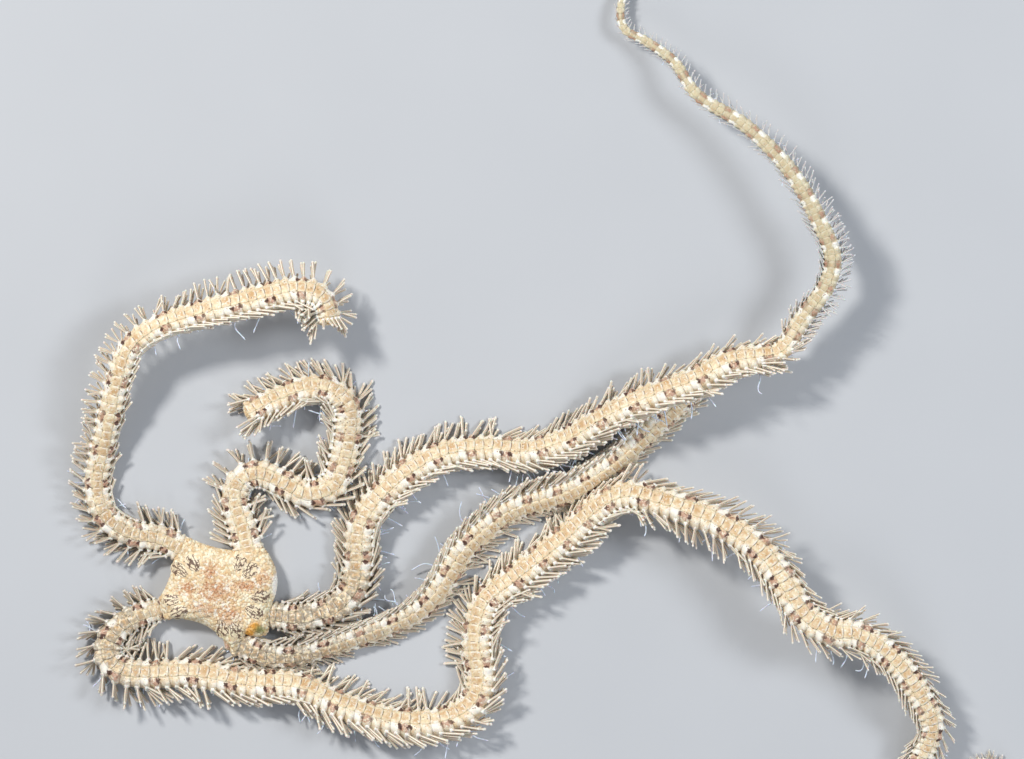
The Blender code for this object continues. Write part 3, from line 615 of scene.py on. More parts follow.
# A material as a tree of nodes, with the colour laid on so far.
class Tree:
    def __init__(self, name):
        self.material = bpy.data.materials.new(name)
        self.material.use_nodes = True
        self.nodes = self.material.node_tree.nodes
        self.surface = self.nodes["Principled BSDF"]
        self.colour = None
        inputs = {0: self.add("ShaderNodeTexCoord", {}, "Object"), 1: (1 / mm,) * 3}
        self.at = self.add("ShaderNodeVectorMath", inputs, operation="MULTIPLY")

    # A node, whose inputs are values or constants, and one of its outputs as a value.
    def add(self, kind, inputs, output=0, **settings):
        node = self.nodes.new(kind)
        for key, value in settings.items():
            setattr(node, key, value)
        for key, value in inputs.items():
            self.feed(node.inputs[key], value)
        return Value(self, node.outputs[output])

    def feed(self, socket, value):
        if isinstance(value, Value):
            self.material.node_tree.links.new(value.socket, socket)
        else:
            socket.default_value = value

    def math(self, kind, *values):
        return self.add("ShaderNodeMath", dict(enumerate(values)), operation=kind)

    # One of the values that a piece carries at its points.
    def value(self, name):
        return self.add("ShaderNodeAttribute", {}, "Fac", attribute_name=name)

    # Noise and cells are sized by the millimetre.
    def noise(self, scale, detail=3, at=None, spread=0.5):
        inputs = {"Vector": at or self.at, "Scale": scale, "Detail": detail, "Roughness": spread}
        return self.add("ShaderNodeTexNoise", inputs, "Fac")

    def cells(self, scale, feature="F1", at=None):
        inputs = {"Vector": at or self.at, "Scale": scale}
        return self.add("ShaderNodeTexVoronoi", inputs, "Distance", feature=feature)

    def mix(self, share, *colours):
        inputs = {0: share}
        for socket, colour in zip((6, 7), colours):
            colour = paint.get(colour, colour)
            inputs[socket] = (*colour, 1) if isinstance(colour, tuple) else colour
        return self.add("ShaderNodeMix", inputs, 2, data_type="RGBA")

    # Start with a mix of two paints, and lay another over what is there.
    def begin(self, share, first, second):
        self.colour = self.mix(share, first, second)

    def lay(self, share, colour):
        self.colour = self.mix(share, self.colour, colour)

    # The grain raises the surface, so strongly and by so many millimetres. Light goes into it by
    # the soft share, as many millimetres deep as softDepth.
    def finish(self, roughness, grain, strength, depth, soft=0.0, softDepth=0.4, gloss=0.5):
        inputs = {"Height": grain, "Strength": strength, "Distance": depth * mm}
        settings = {
            "Base Color": self.colour, "Roughness": roughness, "Specular IOR Level": gloss,
            "Normal": self.add("ShaderNodeBump", inputs),
            "Subsurface Weight": soft, "Subsurface Scale": softDepth * mm,
        }
        for key, value in settings.items():
            self.feed(self.surface.inputs[key], value)
        return self.material


# Sizes along the arm are in segments and sizes round it in half girths.
bands = {
    "middle": 2, "apart": 0.46, "flank": 0.23, "spot": (0.23, 0.066),
    "patch": (0.66, 0.10), "patchLower": 0.03, "glowBefore": 1.05, "glow": (0.50, 0.13),
    "dot": (0.085, 0.017), "dotHigher": 0.02, "paleBefore": 1.15,
    "wobble": (0.9, 0.16), "drift": 0.12,
}


# Two dark spots and a rosy patch between them on either flank at every fourth segment, with a
# white patch before them, and small dots by the joints of the others.
def armMarkings(tree):
    wobble = tree.noise(2.6, 4) - 0.5
    own = tree.noise(0.42, 1)
    segment = tree.value("segment") + wobble * bands["wobble"][0]
    at = segment % section["perBand"] - bands["middle"]
    way = abs(at)
    roundAt = tree.value("round")
    flank = roundAt - bands["flank"] + wobble * bands["wobble"][1] + (own - 0.5) * bands["drift"]
    lower = flank - bands["patchLower"]

    def oval(length, high, sizes):
        a, b = length / sizes[0], high / sizes[1]
        return a * a + b * b

    ringed = tree.value("ringed")
    dark = way.between(1.0, 0.2) * roundAt.between(0, 0.2) * ringed * own.between(0.7, 0.4)
    pale = abs(at + bands["paleBefore"]).between(0.6, 0.2) * roundAt.between(0.10, 0.22)
    glow = oval(at + bands["glowBefore"], lower, bands["glow"]).between(1.3, 0.3)
    patch = oval(way, lower, bands["patch"]).between(1.3, 0.35)
    blotch = tree.noise(3.0, 3).between(0.34, 0.54)
    joint = (segment + 0.5) % 1 - 0.5
    dot = oval(joint, flank + bands["dotHigher"], bands["dot"]).between(1.2, 0.5)
    some = tree.noise(0.9, 2).between(0.46, 0.54)
    spot = oval(way - bands["apart"], flank, bands["spot"]).between(1.25, 0.55)
    shown = (own.between(0.66, 0.42) * 0.5 + 0.5) * (1 - ringed * 0.8)
    tree.lay(ringed * 0.6, "ringTone")
    tree.lay(dark * 0.65, "ringDark")
    tree.lay(pale * ringed * 0.8, "chalk")
    tree.lay(glow * 0.7, "glow")
    tree.lay(patch * blotch * 0.85, "rosy")
    tree.lay(dot * some * 0.8, "brown")
    tree.lay(spot * shown * 0.96, "spot")


# Grey-brown blotches, where an arm is dusky.
def duskyBlotches(tree):
    blotch = tree.noise(2.6, 5).between(0.36, 0.58)
    tree.lay(blotch * tree.value("dusky") * 0.85, "dusk")


# Small brown dots here and there.
def freckles(tree, scale, size, share):
    dots = tree.cells(scale).between(size, size * 0.4)
    some = tree.noise(scale * 0.35, 1).between(0.44, 0.53)
    tree.lay(dots * some * share, "brown")


# Finely grained plates, each with its own tone, tan inside a pale rim and dark where two meet.
def makePlateMaterial(name, rim, middle, joint, roughness=0.5):
    tree = Tree(name)
    tone = tree.value("tone") * 0.14 + tree.noise(1.6, 5)
    tree.begin(tree.value("inside") * tone.between(0.85, 0.35), rim, middle)
    tree.lay(tree.noise(5, 3).between(0.5, 0.7) * 0.5, "tan")
    # painted highlights: small white specks standing in for glints on the plates' knobs
    tree.lay(tree.noise(3.6, 2).between(0.56, 0.68) * 0.7, "chalk")
    edge = tree.value("edge") + tree.noise(3.5, 2) * 0.8
    tree.lay(edge.between(0.92, 1.12) * joint, "brown")
    # painted highlight: a white tick by each joint of the back plates, standing in for a glint
    tree.lay(tree.value("paintedHighlight") * 0.65, "chalk")
    freckles(tree, 1.7, 0.21, 0.8)
    duskyBlotches(tree)
    armMarkings(tree)
    grain = tree.noise(14, 3) + tree.cells(9)
    return tree.finish(roughness, grain, 0.35, 0.05, 0.06)


# Glassy grey-brown rods with pale ribs, partly their own ridges and partly painted highlights on
# their glassy edges, white at the root and bright at the tip.
def makeSpineMaterial():
    tree = Tree("spineGlass")
    along = tree.value("t")
    rib = tree.value("rib") + tree.noise(1.6, 2) * 0.4
    tree.begin(tree.noise(0.6, 2), "rodDark", "rodPale")
    # the pale ribs are partly the rods' own ridges and partly painted highlights along their glassy
    # edges
    tree.lay(rib.between(0.55, 0.95) * 0.75, "rodRibAndHighlight")
    tree.lay(rib.between(0.42, 0.16) * along.between(0.95, 0.7) * 0.5, "rodCore")
    tree.lay(along.between(0.24, 0.09), "rodRoot")
    tree.lay(along.between(0.86, 0.97) * 0.85, "rodTip")
    tree.lay(tree.value("dusky") * 0.45, "dusk")
    tree.lay(tree.value("ringed") * 0.6, "rodRinged")
    return tree.finish(0.3, tree.noise(10, 2), 0.15, 0.03, 0.12, 0.3, 0.6)


# Soft, wet, bluish white.
def makeFootMaterial():
    tree = Tree("tubeFootSkin")
    tree.begin(tree.noise(3, 3), "foot", "footPale")
    tree.lay(tree.value("t").between(0.2, 0.0) * 0.7, "footRoot")
    return tree.finish(0.28, tree.noise(16, 2), 0.25, 0.02, 0.15)


# The patches of colour over the disc, which its skin, scales and shields share.
def discColours(tree):
    net = tree.noise(3.2, 6, spread=0.62)
    rosy = tree.value("rosy")
    flecks = net * 0.5 + tree.noise(1.3, 3) * 0.2 + tree.noise(6, 2) * 0.3
    share = (rosy * 0.22 + flecks).between(0.56, 0.78) * rosy.between(0.03, 0.35)
    tree.lay(share * 0.92, "russet")
    tree.lay(tree.cells(3.4).between(0.30, 0.14) * rosy.between(0.1, 0.6) * 0.6, "chestnut")
    tree.lay(tree.noise(1.9, 4).between(0.53, 0.66) * rosy.between(0.0, 0.4) * 0.85, "milk")
    tree.lay((rosy * 0.2 + tree.noise(4.1, 5)).between(0.74, 0.86) * 0.75, "umber")
    tree.lay(tree.value("sage") * net.between(0.35, 0.6) * 0.55, "sage")
    soft = (tree.noise(1.7, 5) - 0.5) * 1.6 + 1
    tree.lay((tree.value("saffron") * soft).between(0.12, 0.8), "saffron")
    tree.lay((tree.value("lime") * soft).between(0.05, 0.95) * 0.9, "lime")
    tree.lay(tree.value("pale").between(0.25, 0.7) * 0.9, "pale")
    freckles(tree, 2.2, 0.16, 0.5)


# The skin between the plates: tan, darker in its folds, with the same markings.
def makeSkinMaterial():
    tree = Tree("skin")
    tree.begin(tree.noise(1.8, 5), "cream", "paleCream")
    tree.lay(tree.noise(4.5, 3).between(0.55, 0.8), "tan")
    discColours(tree)
    duskyBlotches(tree)
    armMarkings(tree)
    return tree.finish(0.6, tree.noise(9, 4), 0.4, 0.06)


# Cream scales, each with its own tone.
def makeDiscMaterial():
    tree = Tree("discScale")
    tone = tree.value("tone") * 0.3 + tree.noise(1.1, 5) * 0.9
    tree.begin(tone.between(0.35, 0.85), "scaleDark", "scalePale")
    tree.lay(tree.value("edge").between(0.6, 1.0) * 0.45, "scaleEdge")
    discColours(tree)
    return tree.finish(0.5, tree.noise(12, 3) + tree.cells(8), 0.35, 0.05, 0.06)


# Cream ovals under a net of bold, branching, near-black lines that fan out from the inner end.
def makeShieldMaterial():
    tree = Tree("radialShield")
    along, across = tree.value("alongShield"), tree.value("acrossShield")
    own = tree.add("ShaderNodeCombineXYZ", {2: tree.value("which")})
    at = tree.add("ShaderNodeVectorMath", {0: tree.at, 1: own}, operation="ADD")
    wobble = tree.noise(1.5, 3, at) - 0.5
    fan = tree.math("ARCTAN2", across, along + 1.75) * 11 + wobble * 8
    line = abs(tree.math("SINE", fan)) + (tree.noise(4, 3, at) - 0.5) * 0.9
    net = tree.cells(2.1, "DISTANCE_TO_EDGE", at).between(0.13, 0.06)
    net = net * tree.noise(1.9, 2, at).between(0.44, 0.56)
    line = tree.math("MAXIMUM", line.between(0.66, 0.28), net)
    inside = (along * along + across * across + wobble * 1.6).between(0.98, 0.74)
    tree.begin(tree.noise(1.4, 4, at), "shieldDark", "shieldPale")
    discColours(tree)
    tree.lay(line * inside * 0.95, "ink")
    return tree.finish(0.42, tree.noise(12, 3) + line * 0.6, 0.4, 0.05, 0.05)


skinMaterial = makeSkinMaterial()
dorsalMaterial = makePlateMaterial("dorsalPlate", "paleCream", "tan", 0.9)
# the side plates' pale ridge colour is partly their own and partly painted highlight
sideMaterial = makePlateMaterial("sidePlate", "sideRidgeAndHighlight", "sideMiddle", 0.5, 0.45)
lowerMaterial = makePlateMaterial("ventralPlate", "chalk", "paleCream", 0.4)
spineMaterial = makeSpineMaterial()
footMaterial = makeFootMaterial()
discMaterial = makeDiscMaterial()
shieldMaterial = makeShieldMaterial()
print("materials made")

# Along a plate v goes from 0 to 1, and across it u from -1 to 1. Back plates are lifted over the
# disc up to discEnd, in millimetres from its edge.
dorsal = {
    "across": 10, "along": 7, "rows": 1, "before": 2, "discEnd": 1.2, "inset": 0.06,
    "halfRound": 0.172, "waist": 0.82, "widest": 0.62, "corner": 0.62, "overlap": 0.12,
    "bow": 0.10, "skew": 0.04, "rise": 0.09, "dome": 0.06, "lip": 0.15, "lipFrom": 0.8,
    # paintedHighlight is where along the back plates their painted highlight lies, and how wide it
    # is
    "spread": 0.2, "wideSpread": 0.05, "thickness": 0.16, "sunk": 0.03, "paintedHighlight": (0.86, 0.07),
}
side = {
    "across": 15, "along": 6, "rows": 2, "before": 2, "inset": 0.05,
    "from": 0.135, "to": 0.75,      # of the way round
    "overlap": 0.06, "bow": 0.12, "sunk": -0.02, "ridge": 0.34, "ridgeAt": (0.66, 0.26),
    "lobeAt": (0.31, 0.075), "swellFrom": 0.22, "swellOver": 0.50, "knob": 0.07,
    "knobRound": 0.024, "knobLong": 0.13, "shoulder": 0.06, "shoulderAt": (0.2, 0.06),
    "thickness": 0.15,
}
ventral = {
    "across": 8, "along": 6, "rows": 1, "before": 5, "inset": 0.06,
    "halfRound": 0.21, "waist": 0.62, "overlap": 0.02, "bow": 0.12, "rise": 0.02,
    "sunk": -0.13, "thickness": 0.1,
}
spine = {
    "rounds": (0.70, 0.63, 0.56, 0.49, 0.42),        # the rows, from the lowest up
    "lengths": (1.35, 1.9, 2.25, 2.5, 2.3),
    "rings": (0, 0.04, 0.085, 0.14, 0.3, 0.6, 0.86, 0.95, 1),
    "radii": (0.14, 0.215, 0.20, 0.13, 0.148, 0.156, 0.152, 0.172, 0.09),
    "bulbs": (1, 1, 1.1, 1.25, 1.5), "bulbRings": 3,
    "sides": 6, "at": 0.74, "atSpread": 0.04, "sunk": 0.12, "rootOut": 0.14,
    "usualLean": 30, "leans": (7, 100), "fan": 7, "drift": 6, "own": 5,     # degrees
    "lengthSpread": 0.13, "radiusSpread": 0.1, "sag": 0.12,
    "fullSize": 0.62, "leastSize": 0.22,             # all five rows, and two of them
    "tries": ((1, 1), (0.55, 1), (0.3, 0.9), (0.3, 0.6), (1, 0.45)),    # of the lean and length
    "clear": 0.14, "top": 8.5, "floor": 0.2,
}
foot = {
    "rings": 13, "sides": 6, "radius": 0.085, "round": 0.745, "at": 0.35, "sunk": 0.1,
    "long": (1.7, 3.0), "short": (0.6, 1.1), "longShare": 0.12, "longSize": 0.35,
    "wave": 0.22, "clear": 0.1, "floor": 0.1, "bead": 0.12,
}


# 0 in the middle of a plate and 1 at its edge.
def rimShare(u, v):
    return np.maximum(np.abs(u), np.abs(2 * v - 1))


# Plates in one or two rows along an arm. The layout gives places along and round it, heights
# over it and values, from where each plate's segment starts, how long that is, and the places
# on the plate, which are drawn in below.
def plates(arm, kind, look, layout, material):
    shape = plateShape(look["across"], look["along"])
    starts = arm.starts(look["before"])
    root = np.tile(starts[:-1], look["rows"])[:, None]
    pitch = np.tile(np.diff(starts), look["rows"])[:, None]
    inset = 1 - look["inset"] * shape["layer"]
    u, v = shape["u"] * inset, 0.5 + (shape["v"] - 0.5) * inset
    along, roundAt, height, values = layout(root, pitch, u, v)
    out = (height - look["thickness"] * shape["layer"]) * arm.size(root)
    points, _ = arm.wrap(along, roundAt, out)
    if "discEnd" in look:
        lift = discTop(points) + out * 0.8 + look["sunk"] - points[..., 2]
        onDisc = (edgeShare(points) < 1) & (along < look["discEnd"])
        points[..., 2] += np.where(onDisc, np.maximum(lift, 0), 0)
    values = {**arm.marks(along, roundAt), **values}
    uv = arm.unwrap(root, along, roundAt)
    return stamp(f"arm_{arm.name}_{kind}", shape, points, values, material, uv)


def layDorsal(root, pitch, u, v):
    waist, widest = dorsal["waist"], dorsal["widest"]
    wide = waist + (1 - waist) * np.sin(np.clip(v / widest, 0, 1) * np.pi / 2)
    narrowed = np.clip((v - widest) / (1 - widest), 0, 1) * dorsal["corner"]
    wide = wide * np.sqrt(1 - narrowed**2)
    vary = rng.uniform(-1, 1, (len(root), 4))
    along = root + pitch * (
        (1 + dorsal["overlap"]) * v - dorsal["overlap"] / 2 - dorsal["bow"] * v * u**2
        + dorsal["skew"] * vary[:, :1] * u
    )
    roundAt = dorsal["halfRound"] * u * wide * (1 + dorsal["wideSpread"] * vary[:, 1:2])
    rise = dorsal["rise"] * v**1.3 + dorsal["dome"] * (1 - u**2) * np.sin(np.pi * v) ** 0.6
    rise = rise - dorsal["lip"] * np.clip(rimShare(u, v) - dorsal["lipFrom"], 0, 1) * (v > 0.3)
    return along, roundAt, dorsal["sunk"] + rise * (1 + dorsal["spread"] * vary[:, 2:3]), {
        "tone": 0.5 + 0.5 * vary[:, 3:4],
        "inside": np.clip(1.25 - 1.1 * rimShare(u, v) ** 2, 0, 1),
        "edge": (np.abs(v - 0.5) * 2) ** 5 * np.clip(1.25 - 2.4 * u**2, 0, 1),
        # painted highlight just before each back plate's distal edge
        "paintedHighlight": hump(v, *dorsal["paintedHighlight"]) * np.clip(1.1 - 2.6 * u**2, 0, 1),
    }


# On either flank, each with a white ridge, partly painted highlight, that carries the knobs of its
# spines.
def laySide(root, pitch, u, v):
    hand = np.repeat([-1, 1], len(root) // 2)[:, None]
    vary = rng.uniform(-1, 1, (len(root), 4))
    middle, reach = (side["from"] + side["to"]) / 2, (side["to"] - side["from"]) / 2
    roundAt = hand * middle + reach * u * (0.97 + 0.03 * vary[:, :1])
    flank = np.abs(roundAt)
    bow = side["bow"] * np.sin((flank - side["from"]) / (2 * reach) * np.pi)
    along = root + pitch * ((1 + side["overlap"]) * v - side["overlap"] / 2 + bow * v)
    swell = np.clip((flank - side["swellFrom"]) / side["swellOver"], 0, 1)
    swell = np.clip(np.sin(swell * np.pi), 0, 1) ** 0.6
    swell = np.maximum(hump(flank, *side["lobeAt"]), 0.85 * swell)
    crest = hump(v, *side["ridgeAt"])
    ridge = side["ridge"] * (1 + 0.2 * vary[:, 1:2]) * swell * crest
    knobs = sum(hump(flank, at, side["knobRound"]) for at in spine["rounds"])
    knobs = side["knob"] * knobs * hump(v, spine["at"], side["knobLong"])
    shoulder = side["shoulder"] * hump(flank, *side["shoulderAt"]) * np.sin(np.pi * v) ** 0.5
    return along, roundAt, side["sunk"] + ridge + knobs + shoulder, {
        "tone": 0.5 + 0.5 * vary[:, 2:3],
        # low on the ridge, which takes the pale colour that is partly painted highlight
        "inside": np.clip(1.1 - 1.2 * swell * crest, 0, 1),
        "edge": (np.abs(v - 0.5) * 2) ** 4 * np.clip((flank - 0.18) * 8, 0, 1),
    }


# Along the underside, from the mouth out to the tip.
def layVentral(root, pitch, u, v):
    waist = ventral["waist"]
    wide = waist + (1 - waist) * np.sin(np.clip(v / 0.5, 0, 1) * np.pi / 2)
    wide = wide - 0.16 * np.clip(v - 0.7, 0, 1)
    along = root + pitch * ((1 + ventral["overlap"]) * v - ventral["bow"] * v * u**2)
    rise = ventral["rise"] * np.sin(np.pi * v) ** 0.5 * (1 - u**4)
    return along, 1 + ventral["halfRound"] * u * wide, ventral["sunk"] + rise, {
        "tone": rng.uniform(0, 1, (len(root), 1)),
        "inside": np.clip(1.2 - rimShare(u, v) ** 2, 0, 1),
        "edge": rimShare(u, v) ** 4,
    }


plateKinds = (
    ("back_plates", dorsal, layDorsal, dorsalMaterial),
    ("side_plates", side, laySide, sideMaterial),
    ("lower_plates", ventral, layVentral, lowerMaterial),
)


# What spines and feet stay clear of: points along the middles of all arms, and the disc.
cores = {
    "at": np.concatenate([arm.table["core"][::4] for arm in arms.values()]),
    "width": np.concatenate([arm.table["width"][::4] for arm in arms.values()]),
    "along": np.concatenate([arm.along[::4] for arm in arms.values()]),
    "arm": np.concatenate([[name] * len(arm.along[::4]) for name, arm in arms.items()]),
}
ownStretch = 4                  # to either side of a rod's root, where its own arm doesn't block it


# Points along curved rods: (rods, rings, 3).
def rodPoints(root, way, lengthOf, sag, rings):
    t = np.asarray(rings)[None, :, None]
    return root[:, None] + way[:, None] * lengthOf[:, None, None] * t + sag[:, None] * t**2


# Which rods run into an arm, away from their own stretch of their own arm.
def blocked(points, arm, along, clear):
    hit = np.zeros(len(points), bool)
    own = (cores["arm"] == arm.name) & (np.abs(cores["along"] - along[:, None]) < ownStretch)
    for k in range(points.shape[1]):
        away = np.linalg.norm(points[:, k, None] - cores["at"], axis=2)
        hit |= ((away < cores["width"] * 0.9 + clear) & ~own).any(1)
    return hit | insideDisc(points).any(1)


# Corners of tubes along middles (rods, rings, 3), with a radius for each ring.
def sweep(shape, middles, radii, turnUp):
    ways = unit(np.gradient(middles, axis=1))
    first = unit(np.cross(ways, turnUp[:, None]))
    second = np.cross(ways, first)
    rods, rings = middles.shape[:2]
    turn = shape["turn"].reshape(rings, -1)[None, :, :, None]
    ringPoints = middles[:, :, None] + radii[:, :, None, None] * (
        np.cos(turn) * first[:, :, None] + np.sin(turn) * second[:, :, None]
    )
    return ringPoints.reshape(rods, -1, 3)


# Each rod has a small patch of the unwrap, round the place of its root.
def stampRods(arm, kind, shape, points, along, roundAt, values, material):
    values = {**arm.marks(along[:, None], roundAt[:, None]), **values}
    patch = (shape["patch"] - 0.5) * rodPatch
    uv = arm.unwrap(along, along, roundAt)[:, None] + patch
    return stamp(f"arm_{arm.name}_{kind}", shape, points, values, material, uv, onFaces=True)


# Each spine's place along and round an arm, its lean and its length: five to each side of a
# segment, spread like fans, most where the arm bends away, and the tufts.
def spinePlan(arm):
    starts = arm.starts()
    count = len(starts) - 1
    grids = np.meshgrid(np.arange(count), (-1, 1), np.arange(len(spine["rounds"])), indexing="ij")
    segment, hand, row = [grid.ravel() for grid in grids]
    handed = (hand > 0).astype(int)
    drift = rng.normal(0, 1, (count + 3, 2))
    drift = (drift[:-3] + drift[1:-2] + drift[2:-1] + drift[3:]) / 2
    opening = rng.normal(0.7, 0.8, (count, 2))
    own = rng.uniform(-1, 1, (len(row), 3))
    at = spine["at"] + spine["atSpread"] * own[:, 0]
    along = starts[segment] + np.diff(starts)[segment] * at
    size = arm.size(along)
    lean = np.full(len(row), float(spine["usualLean"]))
    for leanHand, low, high, degrees in arm.plan["leans"]:
        lean[(hand == leanHand) & (along >= low) & (along < high)] = degrees
    spread = 0.5 + lean / 60
    lean += spine["fan"] * (row - 2) * opening[segment, handed] * spread
    lean += spread * (spine["drift"] * drift[segment, handed] + spine["own"] * own[:, 1])
    long = np.array(spine["lengths"])[row] * (1 + spine["lengthSpread"] * own[:, 2])
    keep = (size > spine["fullSize"]) | (row % 2 == 1) & (size > spine["leastSize"])
    bulb = np.array(spine["bulbs"])[row]
    plan = np.column_stack([
        along, hand * np.array(spine["rounds"])[row], lean, long * size, bulb,
    ])[keep]
    for at, low, high, number, tuftLean, tuftLength in arm.plan["tufts"]:
        plan = np.concatenate([plan, np.column_stack([
            np.full(number, at), np.linspace(low, high, number),
            tuftLean * rng.uniform(0.6, 1.4, number), tuftLength * rng.uniform(0.8, 1.1, number),
            np.ones(number),
        ])])
    return plan


def spines(arm):
    along, roundAt, lean, long, bulb = spinePlan(arm).T
    thin = fromPairs(along, arm.plan.get("fine", ((0, 1), (1, 1))))
    lean = np.clip(lean, *spine["leans"])
    size = arm.size(along)
    root, outward = arm.wrap(along, roundAt, spine["rootOut"] * size)
    forward = arm.read("forward", along)
    way = np.zeros_like(root)
    waiting = np.ones(len(root), bool)
    for share, shorter in spine["tries"]:
        angle = np.radians(lean * share)[:, None]
        trial = unit(outward * np.sin(angle) + forward * np.cos(angle))
        trialLength = long * shorter
        tip = root[:, 2] + trial[:, 2] * trialLength
        lift = (np.clip(tip, spine["floor"], spine["top"]) - tip) / trialLength
        trial = unit(trial + np.array([0, 0, 1]) * lift[:, None])
        samples = rodPoints(root, trial, trialLength, 0 * root, (0.4, 0.7, 1))
        free = waiting & ~blocked(samples, arm, along, spine["clear"])
        way[free] = trial[free]
        long = np.where(free, trialLength, long)
        waiting &= ~free
    kept = (root, way, long, size, along, roundAt, forward, thin, bulb)
    root, way, long, size, along, roundAt, forward, thin, bulb = [v[~waiting] for v in kept]
    own = rng.uniform(-1, 1, (len(root), 2))
    shape = tubeShape(len(spine["rings"]), spine["sides"])
    start = root - way * spine["sunk"] * size[:, None]
    sag = forward * (spine["sag"] * own[:, :1] * long[:, None])
    middles = rodPoints(start, way, long + spine["sunk"] * size, sag, spine["rings"])
    thick = size**0.7 * thin * (1 + spine["radiusSpread"] * own[:, 1])
    radii = np.array(spine["radii"])[None] * thick[:, None]
    radii[:, :spine["bulbRings"]] *= bulb[:, None]
    sideways = unit(np.cross(way, forward + [0.01, 0, 0.02]))
    points = sweep(shape, middles, radii, sideways)
    values = {
        "t": np.repeat(spine["rings"], spine["sides"]),
        "rib": np.tile(np.arange(spine["sides"]) % 2, len(spine["rings"])),
    }
    return stampRods(arm, "spines", shape, points, along, roundAt, values, spineMaterial)


# Thin wavy feet from under the side plates, on some stretches reaching out past the spines.
def tubeFeet(arm):
    starts = arm.starts(1)
    count = len(starts) - 1
    along = np.tile(starts[:-1] + foot["at"] * np.diff(starts), 2)
    hand = np.repeat([-1, 1], count)
    size = arm.size(along)
    share = np.full(2 * count, foot["longShare"])
    for footSide, low, high, most in arm.plan["feet"]:
        share = np.where((hand == footSide) & (along > low) & (along < high), most, share)
    isLong = (rng.uniform(0, 1, 2 * count) < share) & (size > foot["longSize"])
    longLength = rng.uniform(*foot["long"], 2 * count)
    shortLength = rng.uniform(*foot["short"], 2 * count)
    lengthOf = np.where(isLong, longLength, shortLength) * np.clip(size, 0.3, 1)
    roundAt = hand * foot["round"]
    root, outward = arm.wrap(along, roundAt, -foot["sunk"])
    own = rng.uniform(-1, 1, (2 * count, 6))
    flat = unit(outward * [1, 1, 0])
    first = unit(flat + arm.read("forward", along) * own[:, :1] * 0.8 + [0, 0, -0.1])
    t = np.linspace(0, 1, foot["rings"])
    swing = unit(np.cross(first, [0, 0, 1])) * own[:, 1:2]
    middles = root[:, None] + first[:, None] * lengthOf[:, None, None] * t[:, None]
    wave = np.sin(t[:, None] * (2.2 + 1.6 * own[:, 2, None, None]) * np.pi * 0.5)
    middles = middles + swing[:, None] * wave * lengthOf[:, None, None] * foot["wave"]
    rise = (0.25 + 0.35 * own[:, 3]) * lengthOf * isLong
    middles[..., 2] += rise[:, None] * t**1.5
    middles[..., 2] = np.maximum(middles[..., 2], foot["floor"])
    free = ~blocked(middles[:, 4::4], arm, along, foot["clear"])
    middles, size, along, roundAt = middles[free], size[free], along[free], roundAt[free]
    shape = tubeShape(foot["rings"], foot["sides"])
    beads = 1 + foot["bead"] * np.cos(np.arange(foot["rings"]) * np.pi) * (t > 0.25)
    taper = np.where(t > 0.9, 1.1, 1.25 - 0.5 * t) * beads
    taper[-1] = 0.5
    radii = foot["radius"] * taper[None] * np.clip(size, 0.5, 1)[:, None]
    points = sweep(shape, middles, radii, np.tile([0.1, 0.2, 1.0], (len(middles), 1)))
    values = {"t": shape["v"]}
    return stampRods(arm, "tube_feet", shape, points, along, roundAt, values, footMaterial)


for arm in arms.values():
    for kind in plateKinds:
        place(plates(arm, *kind), "arm")
    place(spines(arm), "arm")
    place(tubeFeet(arm), "arm")
    print("arm", arm.name, "covered")

# The disc's covering: fine scales, five pairs of shields, and the mouth's plates below.
scale = {
    "count": 2700, "radius": 0.22, "long": 1.05, "sides": 8, "rings": (0.45, 0.9, 1.0),
    "heights": (0.085, 0.055, -0.07), "tilt": 0.2, "ragged": 0.16, "tones": (-0.4, 1.4),
}
shield = {
    "length": 2.35, "width": 1.65, "egg": 0.16, "standsOut": 0.10, "sides": 28,
    "rings": (0.08, 0.3, 0.5, 0.7, 0.86, 0.96, 1.0, 0.99), "sunk": 0.16, "clear": 0.97,
    "middles": (                # in pairs, one on either side of each arm
        (-3.1, 3.8), (-4.6, 3.0), (2.3, 3.9), (3.5, 2.9), (4.7, -0.1), (4.0, -1.8),
        (0.3, -3.7), (1.8, -3.9), (-5.6, -0.5), (-4.6, -1.8),
    ),
}
discPaint = {                   # middles in millimetres, sizes across and up the picture
    "rosy": (
        (-0.3, 0.5, 2.9, 1.9), (-1.1, 2.7, 1.1, 1.4), (3.0, 1.2, 2.6, 0.8), (5.0, 1.9, 1.0, 1.3),
        (-1.6, -1.6, 2.1, 1.5), (1.0, -2.1, 1.9, 1.5), (-3.6, 0.9, 1.6, 1.0),
    ),
    "saffron": ((3.45, -4.1, 0.55, 0.7), (3.95, -3.55, 0.75, 0.6)),
    "lime": ((4.65, -3.85, 0.72, 0.55),),
    "pale": ((6.5, 1.2, 0.55, 1.6),),
    "sage": ((-3.2, -2.6, 2.6, 0.9), (1.5, -4.6, 2.4, 1.3), (5.4, -1.0, 1.1, 2.0)),
}
mouth = {                       # angles as shares of the gap between two arms, or in radians
    "oral": (0, 2.75, 0.62, 0.55, 0.16), "jaw": (0.17, 2.05, 0.5, 0.24, 0.14),
    "teeth": 4, "tooth": (0.12, 0.95, 0.15, 0.09, 0.10), "toothSteps": (0.07, 0.22),
    "tip": (0, 0.78, 0.2, 0.1, 0.12), "sides": 12, "rings": (0.2, 0.6, 0.9, 1.0, 0.9),
    "heights": (1, 0.85, 0.5, 0.1, -0.8), "above": 0.2, "tones": (0.4, 1),
}


# How much of each of the disc's colours is at the points, from round soft patches.
def discMarks(points):
    values = {}
    for key, patches in discPaint.items():
        amount = np.zeros(points.shape[:-1])
        for x, y, wide, high in patches:
            away = ((points[..., 0] - x) / wide) ** 2 + ((points[..., 1] - y) / high) ** 2
            amount = np.maximum(amount, np.exp(-away))
        values[key] = amount * (points[..., 2] > 0.6)
    return values


